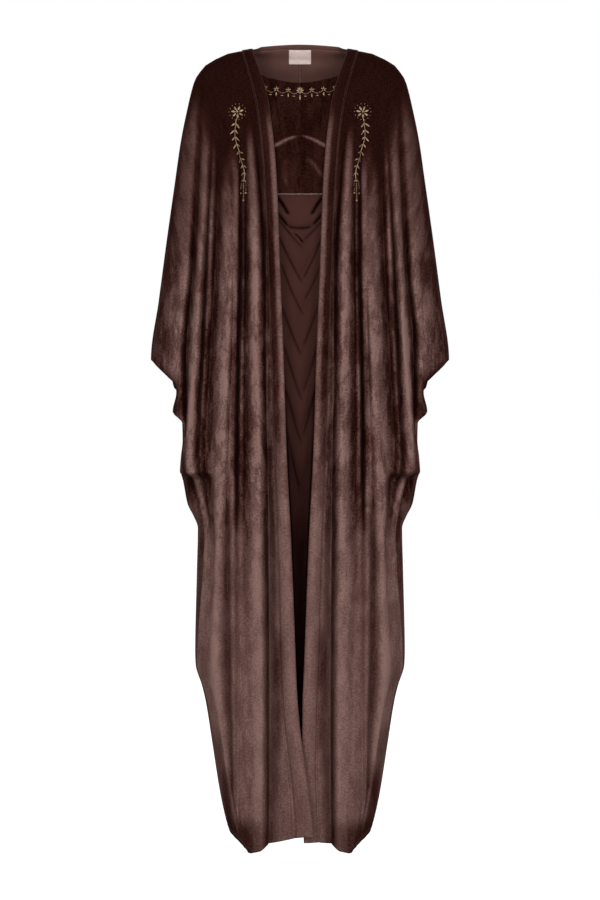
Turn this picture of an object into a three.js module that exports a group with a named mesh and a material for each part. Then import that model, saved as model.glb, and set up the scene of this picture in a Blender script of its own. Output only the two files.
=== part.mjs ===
// A long velvet kaftan in the shape it keeps when it is worn: an open robe with batwing sleeves cut in one
// with its fronts and back, and an insert sewn behind the front opening, with a velvet bodice and a draped
// crepe skirt. Millimetres, +Z up, the front faces -Y, and +X is the wearer's left.
// The origin is the middle of the shoulder line, where the shoulders carry the cloth.
//
// Each robe panel is a grid. Its columns are fold lines that run from the shoulder seam to the hem, crest
// and trough in turn, and its rows are levels down the garment. A wall is the grid moved half a cloth's
// thickness to each side.
import * as THREE from "three";

// ---------------------------------------------------------------- driving sizes
const VELVET = 2.0; // pile cloth, thickness of the wall
const CREPE = 1.4;
const BAND_CLOTH = 1.2;
const LABEL_CLOTH = 1.0;
const SEAM_GAP = 0.3; // between two pieces that are sewn together
const NECK_HALF = 91; // half the neck opening, at the shoulder seam
const BACK_NECK_RISE = 11; // the back neck stands this far above the shoulder line
const BACK_NECK_DEPTH = 62; // and this far behind it
const NECK_BAND_HEIGHT = 7;
const HEM_LEVEL = -1520;
const WAIST_SEAM = -282; // high waist, under the bust
const PIPING_RADIUS = 1.7;
const LABEL = { width: 43, height: 26, top: 8, rows: [0, 0.375, 0.75, 1] };

// Levels that the tables of folds are given at.
const LEVELS = [0, -114, -247, -418, -580, -760, -931, -1159, -1368, HEM_LEVEL];

// Half the garment's width seen from the front: the shoulder line, the overarm fold down to the wrist,
// then the smooth form that the open cuffs lie on, the underarm corner and the pegged side seam.
const OUTLINE = [
  // level, half width
  [0, 94], [-4, 117], [-8, 137], [-19, 161], [-30, 179], [-42, 189], [-53, 196.5], [-65, 201], [-99, 210],
  [-171, 225], [-247, 236], [-361, 252], [-475, 267], [-589, 282], [-620, 276], [-660, 263], [-700, 249],
  [-750, 235], [-800, 226], [-817, 221], [-863, 212], [-885, 201], [-908, 193], [-994, 195],
  [-1140, 198], [-1165, 197], [-1205, 185], [-1235, 178], [-1311, 166], [-1402, 152],
  [-1450, 142], [-1480, 133.5], [HEM_LEVEL, 118],
];
const SHOULDER_POINTS = 10; // of these, how many are the shoulder line's
// The free edges of the cuff, from the wrist corner to the underarm corner.
const CUFF_FRONT = [
  [-589, 282], [-606, 265], [-623, 247], [-640, 232], [-652, 231], [-688, 238.5], [-709, 220],
  [-741, 219.5], [-771, 223], [-800, 226],
];
const CUFF_BACK = [
  [-589, 282], [-606, 266], [-623, 246], [-640, 241], [-652, 231], [-688, 229], [-709, 224],
  [-741, 218], [-771, 219], [-800, 226],
];
// How far the cloth stands before and behind the shoulder line, and how square the section is.
const FORM = [
  // level, front, back, squareness
  [20, 0, 60, 2.3], [0, 4, 68, 2.3], [-10, 25, 74, 2.3], [-25, 42, 78, 2.3], [-60, 66, 90, 2.3],
  [-114, 90, 104, 2.3], [-180, 109, 113, 2.3], [-247, 120, 116, 2.35], [-418, 123, 114, 2.4],
  [-580, 122, 112, 2.5], [-760, 120, 114, 2.8], [-931, 120, 118, 3.2], [-1159, 120, 120, 3.2],
  [-1368, 118, 116, 2.8], [HEM_LEVEL, 112, 106, 2.5],
];
// The side seam's own depth, so that the overarm fold and the underarm corner lie a little forward.
const SEAM_DEPTH = [[0, 0], [-250, -2], [-589, -8], [-760, -10], [-803, -14], [-908, -6], [HEM_LEVEL, 0]];

const namedLine = ([name, columns, x, out]) => ({ name, columns, x, out });

// Fold lines of a front, from its opening edge to the side: how many columns lie between the line
// before and this one, how far the line is from the centre at each of LEVELS, and how far the cloth
// stands out there. The last line is the side seam, which OUTLINE and the cuffs place.
const FRONT_LINES = [
  // name, columns, [distance from the centre, level by level], [how far it stands out, level by level]
  ["edge", 0, [91, 58, 45, 38, 31, 25.5, 17, 8, 0, 0], [0, 0, 2, 5, 7, 7, 7, 7, 5, 3]],
  ["edge_roll", 1, [95, 64, 51, 44, 38, 33, 25, 17, 9, 9], [0, 1, 6, 8, 9, 9, 9, 8, 6, 3]],
  ["band_line", 2, [110, 81, 66, 58, 53, 46.5, 40, 34, 26, 28], [0, 0, -1, -2, 2, 0, 2, 0, 1, 0]],
  ["deep_pleat", 2, [114, 90, 76, 64.5, 64, 60, 58.5, 57.5, 58, 60], [0, -1, -6, -11, -6, -12, -18, -18, -18, -15]],
  ["inner_crest", 2, [119, 101, 86, 80, 80, 76, 75, 72, 71, 72], [0, 1, 8, 13, 13, 10, 11, 11, 10, 8]],
  ["inner_trough", 2, [124, 112, 101, 101, 101.5, 101.5, 102, 97, 93, 90], [0, 0, -3, -5, -3, -5, 1, 3, 4, 4]],
  ["small_crest", 1, [129, 118, 105, 105, 108, 110, 110, 108, 106, 104], [0, 0, 0, 0, 2, 0, 3, 4, 4, 3]],
  ["long_crease", 1, [134, 124, 111, 111, 114, 117, 118, 117.5, 117.5, 113], [0, -1, -6, -11, -13, -17, -1, 1, 1, 1]],
  ["crease_lip", 1, [139, 130, 117, 118, 121, 125, 125, 123, 122, 117], [0, 0, 4, 8, 3, 1, 3, 3, 3, 2]],
  ["thigh_trough", 1, [144, 135, 122, 123, 127, 133, 136, 134, 128, 121], [0, 1, 5, 10, 5, 4, -6, -7, -4, 1]],
  ["outer_crest", 2, [150, 143, 128, 128, 133, 142, 152, 158, 138, 124], [0, 2, 5, 12, 13, 12, 11, 10, 6, 1]],
  ["arm_trough", 2, [157, 152, 154, 160, 169, 178, 160, 170, 143, 126.5], [0, 0, -7, -13, -16, -14, 3, 4, 0, 0]],
  ["arm_lip", 1, [162, 158, 163, 170, 177, 186, 164, 175, 145.5, 128], [0, 0, 1, -2, -6, -7, 2, 4, -2, 0]],
  ["arm_crease", 1, [167, 164, 168, 176, 183, 191, 168, 180, 148, 129.2], [0, 0, -1, -8, -14, -15, 2, 4, -4, 0]],
  ["sleeve_crest", 2, [174, 174, 176, 185, 194, 208, 172, 185, 150, 130.4], [0, 1, 7, 11, 11, 10, 2, 5, -4, 0]],
  ["sleeve_crease", 2, [183, 187, 192, 201, 214, 213, 177.5, 190, 152, 131.4], [0, -1, -5, -9, -14, 2, 3, 6, -4, 0]],
  ["overarm_crest", 2, [191, 199, 209, 211, 224, 217, 183, 194, 154, 132.4], [0, 2, 6, 12, 14, 1, -16, -5, -3, 0]],
  ["side", 2, null, [0, 0, 0, 0, 0, 0, 0, 0, 0, 0]],
].map(namedLine);
// Where each front line ends at the hem, which rises at the opening and again at the sides.
const FRONT_HEM = [
  -1493, -1493, -1492, -1496, -1509, -1515, -1514, -1509, -1506, -1502, -1499, -1496, -1493, -1491, -1488,
  -1485, -1483, -1480,
];

const BACK_LINES = [
  // name, columns, [distance from the centre, level by level], [how far it stands out, level by level]
  ["centre", 0, [0, 0, 0, 0, 0, 0, 0, 0, 0, 0], [0, 0, -1, -5, -7, -8, -8, -8, -6, -4]],
  ["back_crest_1", 2, [22, 22, 21, 22, 21, 20, 19, 22, 19, 17], [0, 0, 1, 7, 9, 10, 10, 11, 8, 6]],
  ["back_trough_1", 2, [44, 44, 42, 41, 40, 39, 38, 42, 37, 33], [0, 0, -2, -7, -9, -10, -11, -10, -7, -5]],
  ["back_crest_2", 2, [66, 64, 62, 62, 61, 59, 57, 62, 55, 49], [0, 0, 2, 6, 9, 8, 8, 10, 7, 5]],
  ["back_trough_2", 1, [91, 86, 83, 84, 83, 79, 76, 84, 74, 65], [0, 0, -3, -10, -13, -14, -14, -12, -9, -6]],
  ["back_crest_3", 2, [112, 106, 104, 107, 109, 104, 98, 108, 95, 82], [0, 0, 4, 10, 12, 12, 11, 11, 9, 6]],
  ["back_trough_3", 2, [138, 132, 130, 135, 143, 140, 122, 132, 115, 99], [0, 0, -4, -10, -13, -13, -9, -10, -7, -4]],
  ["back_crest_4", 2, [160, 156, 156, 165, 178, 176, 147, 156, 131, 113], [0, 0, 5, 10, 13, 11, 7, 9, 6, 2]],
  ["back_trough_4", 1, [177, 181, 184, 198, 214, 203, 170, 177, 144, 123], [0, 0, -3, -9, -11, -6, -3, -5, -2, 0]],
  ["back_crest_5", 2, [190, 199, 212, 226, 244, 213, 184, 190, 152, 130], [0, 1, 5, 10, 12, 2, 2, 2, 0, 0]],
  ["side", 2, null, [0, 0, 0, 0, 0, 0, 0, 0, 0, 0]],
].map(namedLine);
const BACK_HEM = [-1500, -1503, -1504, -1504, -1503, -1502, -1500, -1496, -1490, -1485, -1480];

// The wearer's right front laps over the left one below this level.
const LAP = [
  // level, the left front's edge moves out, the right front's crosses over, each moves this far in depth
  [-1120, 0, 0, 0], [-1210, 0, 0, 3.5], [-1273, 2, 2, 5.5], [-1368, 4, 12, 6.5], [-1450, 6, 21, 6.5],
  [HEM_LEVEL, 7, 26, 6.5],
];
const LAP_FADE = [12, 62]; // the lap is full this far from the centre and dies out here, at the deep pleat
const LAP_HEM_RISE = 12; // the corner that laps over is cut a little shorter

// The underarm drape: cloth above it hangs over as a pouch, and below it lies back under the fold.
const POUCH = [
  // level, how far it hangs out
  [-700, 0], [-770, 10], [-795, 16], [-803, 16], [-811, -20], [-835, -22], [-870, -14], [-908, -6],
  [-940, 0],
];
const POUCH_FROM = 158; // from this far out, full at POUCH_FULL
const POUCH_FULL = 186;

const LEAST_SPACING = 3.4; // between two fold lines that are crowded against the side seam
const LEAST_BULGE = 1.6; // a panel stays at least this far to its own side of the side seam,
const BULGE_SLOPE = 0.12; // and this much further for each millimetre in from it,
const SHOULDER_FADE = 40; // once it is this far below the shoulder line
const LEANT_SPACING = 2.7; // and when their folds have leaned sideways
const FOLD_SPREAD = 0.3; // how far a fold leans sideways, for each millimetre that it stands out
const NECK_FADE = 70; // the back neck's own curve dies out this far down
const NECK_SQUARENESS = 2.2;

// Levels of the rows.
const ROWS = [
  0, -22, -48, -82, -125, -180, -240, -320, -410, -500, -589, -606, -623, -640, -652, -688, -709, -740,
  -771, -797, -803, -811, -835, -870, -908, -960, -1040, -1120, -1165, -1205, -1270, -1340, -1410, -1470,
  HEM_LEVEL,
];
const SLOPE_END = -165; // rows follow the shoulder's slope above this level
const HEM_CURVE_START = -1270; // and the hem's curve below this one

// The insert is seated behind the fronts' deep pleats. Its depth at the centre, level by level.
const INSERT_CENTRE = [
  // level, depth
  [-40, -66], [-70, -80], [-100, -91], [-165, -103], [-230, -103], [-290, -101], [-340, -99], [-450, -92],
  [-600, -84], [-800, -76], [-1000, -70], [-1200, -68], [-1440, -68],
];
const NECKLINE = { centre: -72, rise: 34, reach: 100 }; // it rises this much, this far from the centre
const BUST = { x: 50, level: -165, rise: 6, across: 26, down: 42 };
const BODICE_ROWS = 8;
const INSERT_COLUMNS = 14;
const INSERT_FULLNESS = 2.6; // how square the insert's own section is
const TUCK = 1.4; // the insert stays this far behind the fronts where they cover it
// Rows of the skirt: the level at the centre, how steeply the row climbs to the sides, how wide its level
// stretch at the centre is as a share of the half width, and how far the cloth stands out. A chevron's
// crease is a row that stands back between two that stand out.
const SKIRT_ROWS = [
  // name, level, climb, flat, out
  ["waist", WAIST_SEAM - PIPING_RADIUS - SEAM_GAP, 0, 0.3, 0],
  ["swag_top", -302, 0.12, 0.3, 3],
  ["swag_crest", -328, 0.5, 0.3, 9],
  ["swag_crease", -347, 0.85, 0.22, -4],
  ["chevron_1", -361, 1.1, 0.1, 4],
  ["crease_1", -378, 1.45, 0.07, -3],
  ["chevron_2", -404, 1.7, 0.06, 4],
  ["crease_2", -430, 1.9, 0.05, -3],
  ["chevron_3", -462, 2.1, 0.05, 4],
  ["crease_3", -498, 2.25, 0.05, -3],
  ["chevron_4", -536, 2.4, 0.05, 4],
  ["crease_4", -574, 2.5, 0.05, -3],
  ["chevron_5", -608, 2.6, 0.05, 5],
  ["crease_5", -646, 2.7, 0.05, -3],
  ["chevron_6", -684, 2.8, 0.05, 6],
  ["crease_6", -722, 2.85, 0.05, -4],
  ["chevron_7", -772, 2.9, 0.05, 6],
  ["crease_7", -822, 2.9, 0.05, -4],
  ["chevron_8", -880, 2.8, 0.06, 5],
  ["crease_8", -940, 2.5, 0.08, -3],
  ["lower_1", -1030, 3.9, 0.1, 3],
  ["lower_2", -1140, 1.0, 0.1, 0],
  ["lower_3", -1260, 0.4, 0.1, 0],
  ["hem", -1440, 0, 0.1, 0],
];
const VEE_REACH = 0.55; // a vee climbs evenly to this share of the way to the side, then levels off

// ---------------------------------------------------------------- reading the tables
const clamp = (value, low, high) => Math.min(high, Math.max(low, value));
const mix = (a, b, t) => a + (b - a) * t;
const smooth = (t) => {
  const s = clamp(t, 0, 1);
  return s * s * (3 - 2 * s);
};

// Monotone cubic through (at[i], values[i]), where at falls: it never overshoots a table's values.
function through(at, values, where) {
  const last = at.length - 1;
  if (where >= at[0]) return values[0];
  if (where <= at[last]) return values[last];
  const i = at.findIndex((level) => level < where) - 1;
  const slope = (k) => (values[k + 1] - values[k]) / (at[k + 1] - at[k]);
  const tangent = (k) => {
    if (k === 0) return slope(0);
    if (k === last) return slope(last - 1);
    const before = slope(k - 1);
    const after = slope(k);
    return before * after <= 0 ? 0 : (2 * before * after) / (before + after);
  };
  const span = at[i + 1] - at[i];
  const t = (where - at[i]) / span;
  const bow = (1 + 2 * t) * (1 - t) ** 2;
  return (
    bow * values[i] +
    t * (1 - t) ** 2 * span * tangent(i) +
    (1 - bow) * values[i + 1] +
    t * t * (t - 1) * span * tangent(i + 1)
  );
}
const columnOf = (table, column, level) =>
  through(table.map((row) => row[0]), table.map((row) => row[column]), level);

const halfWidth = (z) => columnOf(OUTLINE, 1, z);
const inCuff = (z) => z < CUFF_FRONT[0][0] && z > CUFF_FRONT.at(-1)[0];
const sideAt = (z, cuff) => (inCuff(z) ? columnOf(cuff, 1, z) : halfWidth(z));

// The height of the shoulder line above a point this far from the centre.
function shoulderLine(x) {
  const rising = OUTLINE.slice(0, SHOULDER_POINTS);
  const i = clamp(rising.findIndex((row) => row[1] >= x), 1, rising.length - 1);
  const [[upper, inner], [lower, outer]] = [rising[i - 1], rising[i]];
  return mix(upper, lower, clamp((x - inner) / (outer - inner), 0, 1));
}

// ---------------------------------------------------------------- the robe's form
// Depth of the smooth form at x, z: a superellipse from the centre to the outline. facing is -1 for the
// front and +1 for the back.
function formDepth(x, z, facing) {
  const depth = columnOf(FORM, facing < 0 ? 1 : 2, z);
  const square = columnOf(FORM, 3, z);
  const seam = columnOf(SEAM_DEPTH, 1, z);
  const share = clamp(Math.abs(x) / halfWidth(z), 0, 1);
  return seam + (facing * depth - seam) * (1 - share ** square) ** (1 / square);
}

// The outward direction of the form at x, z, level with the ground.
function formOutward(x, z, facing) {
  const step = 2;
  const slope = (formDepth(x + step, z, facing) - formDepth(x - step, z, facing)) / (2 * step);
  return new THREE.Vector2(-slope * facing, facing).normalize();
}

// Splits the spans between fold lines into columns: a list of [line, share of the way to the next].
function columnsOf(lines) {
  const list = [[0, 0]];
  lines.forEach((line, i) => {
    for (let k = 1; k <= line.columns; k++) list.push([i - 1, k / line.columns]);
  });
  return list;
}

// Cloth between two fold lines: x runs evenly, and the relief turns over softly at both.
function foldAt(lines, level, [line, share], side) {
  const next = Math.min(line + 1, lines.length - 1);
  const xOf = (i) => (lines[i].x ? through(LEVELS, lines[i].x, level) : side);
  const outOf = (i) => through(LEVELS, lines[i].out, level);
  return {
    x: mix(xOf(line), xOf(next), share),
    out: mix(outOf(line), outOf(next), smooth(share)),
  };
}

// One point of a robe panel, on the +X side. lap is +1 for the front that laps over, -1 for the one
// under it, and 0 for the back.
function robePoint(panel, column, row) {
  const { lines, hem, cuff, facing, lap } = panel;
  const level = ROWS[row];
  const [line, part] = column;
  const topX = foldAt(lines, 0, column, panel.sideTop).x;
  const isNeck = facing > 0 && topX <= NECK_HALF;
  const topZ = isNeck ? BACK_NECK_RISE * (1 - (topX / NECK_HALF) ** 2) : shoulderLine(topX);
  const hemZ = mix(hem[line], hem[Math.min(line + 1, hem.length - 1)], part);
  const slope = 1 - smooth(level / SLOPE_END);
  const curve = clamp((level - HEM_CURVE_START) / (HEM_LEVEL - HEM_CURVE_START), 0, 1) ** 2;
  let z = level + topZ * slope + (hemZ - HEM_LEVEL) * curve;
  const isSide = line + part >= lines.length - 1;
  const side = sideAt(level + shoulderLine(panel.sideTop) * slope + (hem.at(-1) - HEM_LEVEL) * curve, cuff);
  let { x, out } = foldAt(lines, level, column, side);
  const limit = halfWidth(z);
  const linesLeft = lines.length - 1 - line - part;
  if (isSide) x = side;
  else x = Math.min(x, side - linesLeft * LEAST_SPACING);
  const pouch = smooth((x - POUCH_FROM) / (POUCH_FULL - POUCH_FROM)) * columnOf(POUCH, 1, z);
  if (facing < 0 && !isSide) out += pouch;
  let y = formDepth(Math.min(x, limit), z, facing);
  if (isNeck || (facing > 0 && x < NECK_HALF)) {
    const share = Math.min(topX, NECK_HALF) / NECK_HALF;
    const neck = BACK_NECK_DEPTH * (1 - share ** NECK_SQUARENESS) ** (1 / NECK_SQUARENESS);
    y += ((isNeck ? neck : 0) - formDepth(topX, topZ, facing)) * (1 - smooth((topZ - z) / NECK_FADE));
  }
  const onShoulder = row === 0 && !(isNeck && topX < NECK_HALF);
  if (isSide) return new THREE.Vector3(x, onShoulder ? 0 : y + out * facing, z);
  const outward = formOutward(Math.min(x, limit - 3), z, facing);
  x = Math.min(x + outward.x * out * FOLD_SPREAD, side - linesLeft * LEANT_SPACING);
  const below = smooth((topZ - z) / SHOULDER_FADE);
  const seam = columnOf(SEAM_DEPTH, 1, z) + facing * below * (LEAST_BULGE + (side - x) * BULGE_SLOPE);
  y = facing < 0 ? Math.min(y + outward.y * out, seam) : Math.max(y + outward.y * out, seam);
  if (lap) {
    const near = 1 - smooth((x - LAP_FADE[0]) / (LAP_FADE[1] - LAP_FADE[0]));
    x += near * (lap > 0 ? -columnOf(LAP, 2, level) : columnOf(LAP, 1, level));
    y -= near * lap * columnOf(LAP, 3, level);
    z += lap > 0 ? near * curve * LAP_HEM_RISE : 0;
  }
  if (onShoulder) y = 0;
  return new THREE.Vector3(x, y, z);
}

// ---------------------------------------------------------------- walls
// Normals of a grid of points, by central differences. Where two pieces meet, each keeps its edge's
// normals in the seam's own plane, so that they stand face to face. hold names those edges: hold.first and
// hold.last are the axis that the first and the last column give up, and hold.top(j) says whether the top
// row gives up y in column j.
function gridNormals(grid, hold = {}) {
  const rows = grid.length;
  const columns = grid[0].length;
  const at = (i, j) => grid[clamp(i, 0, rows - 1)][clamp(j, 0, columns - 1)];
  return grid.map((line, i) =>
    line.map((_, j) => {
      const down = at(i + 1, j).clone().sub(at(i - 1, j));
      const across = at(i, j + 1).clone().sub(at(i, j - 1));
      const normal = down.cross(across).normalize();
      if (hold.first && j === 0) normal[hold.first] = 0;
      if (hold.last && j === columns - 1) normal[hold.last] = 0;
      if (hold.top?.(j) && i === 0) normal.y = 0;
      return normal.normalize();
    }),
  );
}

// The closed wall between two grids of the same size: outer is the side that its faces look out from.
function wallBetween(outer, inner) {
  const rows = outer.length;
  const columns = outer[0].length;
  const points = [...outer.flat(), ...inner.flat()];
  const far = rows * columns;
  const index = [];
  const quad = (a, b, c, d) => index.push(a, b, c, a, c, d);
  for (let i = 0; i < rows - 1; i++) {
    for (let j = 0; j < columns - 1; j++) {
      const a = i * columns + j;
      quad(a, a + columns, a + columns + 1, a + 1);
      quad(far + a, far + a + 1, far + a + columns + 1, far + a + columns);
    }
  }
  const rim = (list) =>
    list.slice(1).forEach((b, k) => quad(list[k], b, far + b, far + list[k]));
  const top = Array.from({ length: columns }, (_, j) => j);
  const bottom = top.map((j) => (rows - 1) * columns + j);
  const start = Array.from({ length: rows }, (_, i) => i * columns);
  const end = start.map((k) => k + columns - 1);
  rim(top);
  rim(end);
  rim(bottom.reverse());
  rim(start.reverse());
  const geometry = new THREE.BufferGeometry();
  geometry.setAttribute("position", new THREE.Float32BufferAttribute(points.flatMap((p) => p.toArray()), 3));
  geometry.setIndex(index);
  geometry.computeVertexNormals();
  return geometry;
}

const moved = (grid, normals, distance) =>
  grid.map((line, i) => line.map((p, j) => p.clone().addScaledVector(normals[i][j], distance)));

// A cloth wall of this thickness, its middle moved out by lift.
function cloth(grid, normals, thickness, lift = 0) {
  return wallBetween(
    moved(grid, normals, lift + thickness / 2),
    moved(grid, normals, lift - thickness / 2),
  );
}

// The same grid on the other side of the garment, with its columns still running the same way round.
const mirrored = (grid) =>
  grid.map((line) => line.map((p) => new THREE.Vector3(-p.x, p.y, p.z)).reverse());

// ---------------------------------------------------------------- materials
const paint = (color, roughness) => new THREE.MeshStandardMaterial({ color, roughness, metalness: 0 });
const velvet = paint(0x4a2c27, 0.85);
const trim = paint(0x3b201b, 0.8);
const crepe = paint(0x3e2421, 0.6);
const satin = paint(0x7d615b, 0.4);
const labelCloth = paint(0xdcc9c3, 0.7);

const kaftan = new THREE.Group();
kaftan.name = "kaftan";
function add(name, geometry, material) {
  const mesh = new THREE.Mesh(geometry, material);
  mesh.name = name;
  kaftan.add(mesh);
}

// ---------------------------------------------------------------- robe panels
const SIDE_TOP = 199; // half the width that the shoulder seam reaches
const panelGrid = (panel) => ROWS.map((_, row) => columnsOf(panel.lines).map((c) => robePoint(panel, c, row)));
const frontPanel = (lap) => ({
  lines: FRONT_LINES,
  hem: FRONT_HEM,
  cuff: CUFF_FRONT,
  facing: -1,
  lap,
  sideTop: SIDE_TOP,
});
const backPanel = { lines: BACK_LINES, hem: BACK_HEM, cuff: CUFF_BACK, facing: 1, lap: 0, sideTop: SIDE_TOP };

// Opens a seam by half its gap: the side and shoulder seams along y, the centre back seam along x.
function openSeams(grid, facing) {
  const half = SEAM_GAP / 2;
  grid.forEach((line) => (line.at(-1).y += facing * half));
  grid[0].slice(0, -1).forEach((p) => (p.y += p.y === 0 ? facing * half : 0));
  if (facing > 0) grid.forEach((line) => (line[0].x += half));
}

const leftFront = panelGrid(frontPanel(-1));
const rightFront = panelGrid(frontPanel(1));
const leftBack = panelGrid(backPanel);
openSeams(leftFront, -1);
openSeams(rightFront, -1);
openSeams(leftBack, 1);

const neckColumns = leftBack[0].filter((p) => p.y > SEAM_GAP).length;
const lastColumn = leftBack[0].length - 1;
const panel = (name, grid, hold) => ({ name, grid, normals: gridNormals(grid, hold) });
const everywhere = () => true;
const robe = {
  frontLeft: panel("front_left", leftFront, { last: "y", top: everywhere }),
  frontRight: panel("front_right", mirrored(rightFront), { first: "y", top: everywhere }),
  backLeft: panel("back_left", leftBack, { first: "x", last: "y", top: (j) => j >= neckColumns }),
  backRight: panel("back_right", mirrored(leftBack), {
    first: "y",
    last: "x",
    top: (j) => j <= lastColumn - neckColumns,
  }),
};
Object.values(robe).forEach(({ name, grid, normals }) => add(name, cloth(grid, normals, VELVET), velvet));

// ---------------------------------------------------------------- bands
const BAND_COLUMNS = 1 + FRONT_LINES[1].columns + FRONT_LINES[2].columns;
const PLEAT_COLUMN = BAND_COLUMNS - 1 + FRONT_LINES[3].columns;
const lastFrontColumn = robe.frontLeft.grid[0].length - 1;
const ON_VELVET = VELVET / 2 + SEAM_GAP + BAND_CLOTH / 2;

// A band down the opening edge of a front, laid on it.
function frontBand(name, { grid, normals }, from) {
  const strip = (table) => table.map((line) => line.slice(from, from + BAND_COLUMNS));
  add(name, cloth(strip(grid), strip(normals), BAND_CLOTH, ON_VELVET), trim);
}
frontBand("front_band_left", robe.frontLeft, 0);
frontBand("front_band_right", robe.frontRight, lastFrontColumn + 1 - BAND_COLUMNS);

// The band that stands on the back neck, between the two shoulder seams, in line with the panels.
function backNeckBand() {
  const { backRight, backLeft } = robe;
  const right = Array.from({ length: neckColumns }, (_, k) => [backRight, lastColumn - neckColumns + 1 + k]);
  const left = Array.from({ length: neckColumns }, (_, k) => [backLeft, k]);
  const posts = [...right, ...left].map(([{ grid, normals }, j]) => ({
    foot: grid[0][j],
    up: grid[0][j].clone().sub(grid[1][j]).normalize(),
    normal: normals[0][j],
  }));
  // Its ends reach the neck corners, where the shoulder seams start.
  const corner = (x, post) => ({ ...post, foot: new THREE.Vector3(x, SEAM_GAP + VELVET, VELVET) });
  posts.unshift(corner(-NECK_HALF, posts[0]));
  posts.push(corner(NECK_HALF, posts.at(-1)));
  const raised = (height) => posts.map(({ foot, up }) => foot.clone().addScaledVector(up, height));
  const normals = posts.map(({ normal }) => normal);
  const grid = [raised(2 * SEAM_GAP + NECK_BAND_HEIGHT), raised(2 * SEAM_GAP)];
  add("back_neck_band", cloth(grid, [normals, normals], VELVET), trim);
}
backNeckBand();

// ---------------------------------------------------------------- insert
// Where the insert is sewn behind a front: the inside of its deep pleat, at height z.
function seatAt({ grid, normals }, column, z, thickness) {
  const inset = VELVET / 2 + SEAM_GAP + thickness / 2;
  const line = grid.map((row, i) => row.at(column).clone().addScaledVector(normals[i].at(column), -inset));
  const i = clamp(line.findIndex((p) => p.z < z), 1, line.length - 1);
  return line[i - 1].clone().lerp(line[i], (line[i - 1].z - z) / (line[i - 1].z - line[i].z));
}

// The insides of the two fronts, from the opening edge to just past the pleat.
const COVER_COLUMNS = PLEAT_COLUMN + 2;
const inside = ({ grid, normals }, from) =>
  moved(grid, normals, -VELVET / 2).map((line) => line.slice(from, from + COVER_COLUMNS));
const covers = [
  { grid: inside(robe.frontLeft, 0), edge: 0 },
  { grid: inside(robe.frontRight, lastFrontColumn + 1 - COVER_COLUMNS), edge: COVER_COLUMNS - 1 },
];

// How far back a point of the insert has to lie to be clear of a front that covers it, or whose edge is
// within EDGE_REACH of it: the front's inside, then this much cloth and air, measured square to it.
const EDGE_REACH = 16;
const EDGE_INSET = 0.5; // a point beside an edge is measured this far in from it
const LEAST_FACING = 0.4; // of a cover's face towards the insert, so that a steep face asks for no more
function clearDepth(x, z, distance) {
  const depths = covers.map(({ grid, edge }) => {
    const i = clamp(grid.findIndex((line) => line[edge].z < z), 1, grid.length - 1);
    const [a, b] = [grid[i - 1][edge], grid[i][edge]];
    const edgeX = mix(a.x, b.x, clamp((a.z - z) / (a.z - b.z), 0, 1));
    const side = edge === 0 ? 1 : -1;
    const past = (x - edgeX) * side;
    if (past < -EDGE_REACH) return -Infinity;
    const ray = new THREE.Ray(
      new THREE.Vector3(past < EDGE_INSET ? edgeX + EDGE_INSET * side : x, 500, z),
      new THREE.Vector3(0, -1, 0),
    );
    let depth = -Infinity;
    for (let r = 0; r < grid.length - 1; r++) {
      for (let c = 0; c < grid[r].length - 1; c++) {
        const [p, q, u, v] = [grid[r][c], grid[r][c + 1], grid[r + 1][c], grid[r + 1][c + 1]];
        for (const corners of [[p, u, v], [p, v, q]]) {
          const hit = ray.intersectTriangle(...corners, false, new THREE.Vector3());
          if (!hit) continue;
          const face = new THREE.Triangle(...corners).getNormal(new THREE.Vector3());
          depth = Math.max(depth, hit.y + distance / Math.max(LEAST_FACING, Math.abs(face.y)));
        }
      }
    }
    return depth;
  });
  return Math.max(...depths);
}

// A point of the insert, from the right seat at share -1 to the left one at +1.
function insertPoint(share, z, out, thickness) {
  const right = seatAt(robe.frontRight, -1 - PLEAT_COLUMN, z, thickness);
  const left = seatAt(robe.frontLeft, PLEAT_COLUMN, z, thickness);
  const x = mix(right.x, left.x, (1 + share) / 2);
  const edge = mix(right.y, left.y, (1 + share) / 2);
  const inward = 1 - Math.abs(share) ** INSERT_FULLNESS;
  const bust = Math.hypot((Math.abs(x) - BUST.x) / BUST.across, (z - BUST.level) / BUST.down);
  let y = mix(edge, columnOf(INSERT_CENTRE, 1, z), inward);
  y -= inward * (out + BUST.rise * Math.exp(-bust * bust));
  if (Math.abs(share) < 1) y = Math.max(y, clearDepth(x, z, thickness / 2 + TUCK));
  return new THREE.Vector3(x, y, z);
}
const SHARES = Array.from({ length: INSERT_COLUMNS + 1 }, (_, j) => (2 * j) / INSERT_COLUMNS - 1);

function bodice() {
  const bottom = WAIST_SEAM + PIPING_RADIUS + SEAM_GAP;
  const grid = Array.from({ length: BODICE_ROWS + 1 }, (_, i) =>
    SHARES.map((share) => {
      const top = NECKLINE.centre + NECKLINE.rise * share * share;
      return insertPoint(share, mix(top, bottom, i / BODICE_ROWS), 0, VELVET);
    }),
  );
  add("bodice_front", cloth(grid, gridNormals(grid), VELVET), velvet);
}
bodice();

// How far up its climb a chevron is: level over its flat stretch, then even, then level again.
function vee(share, flat) {
  const away = Math.hypot(share, flat) - flat;
  return away / (1 + (away / VEE_REACH) ** 4) ** 0.25;
}

function skirt() {
  const grid = SKIRT_ROWS.map(([, level, climb, flat, out]) =>
    SHARES.map((share) => {
      const reach = seatAt(robe.frontLeft, PLEAT_COLUMN, level, CREPE).x;
      return insertPoint(share, level + climb * reach * vee(share, flat), out, CREPE);
    }),
  );
  add("skirt_front", cloth(grid, gridNormals(grid), CREPE), crepe);
}
skirt();

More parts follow.
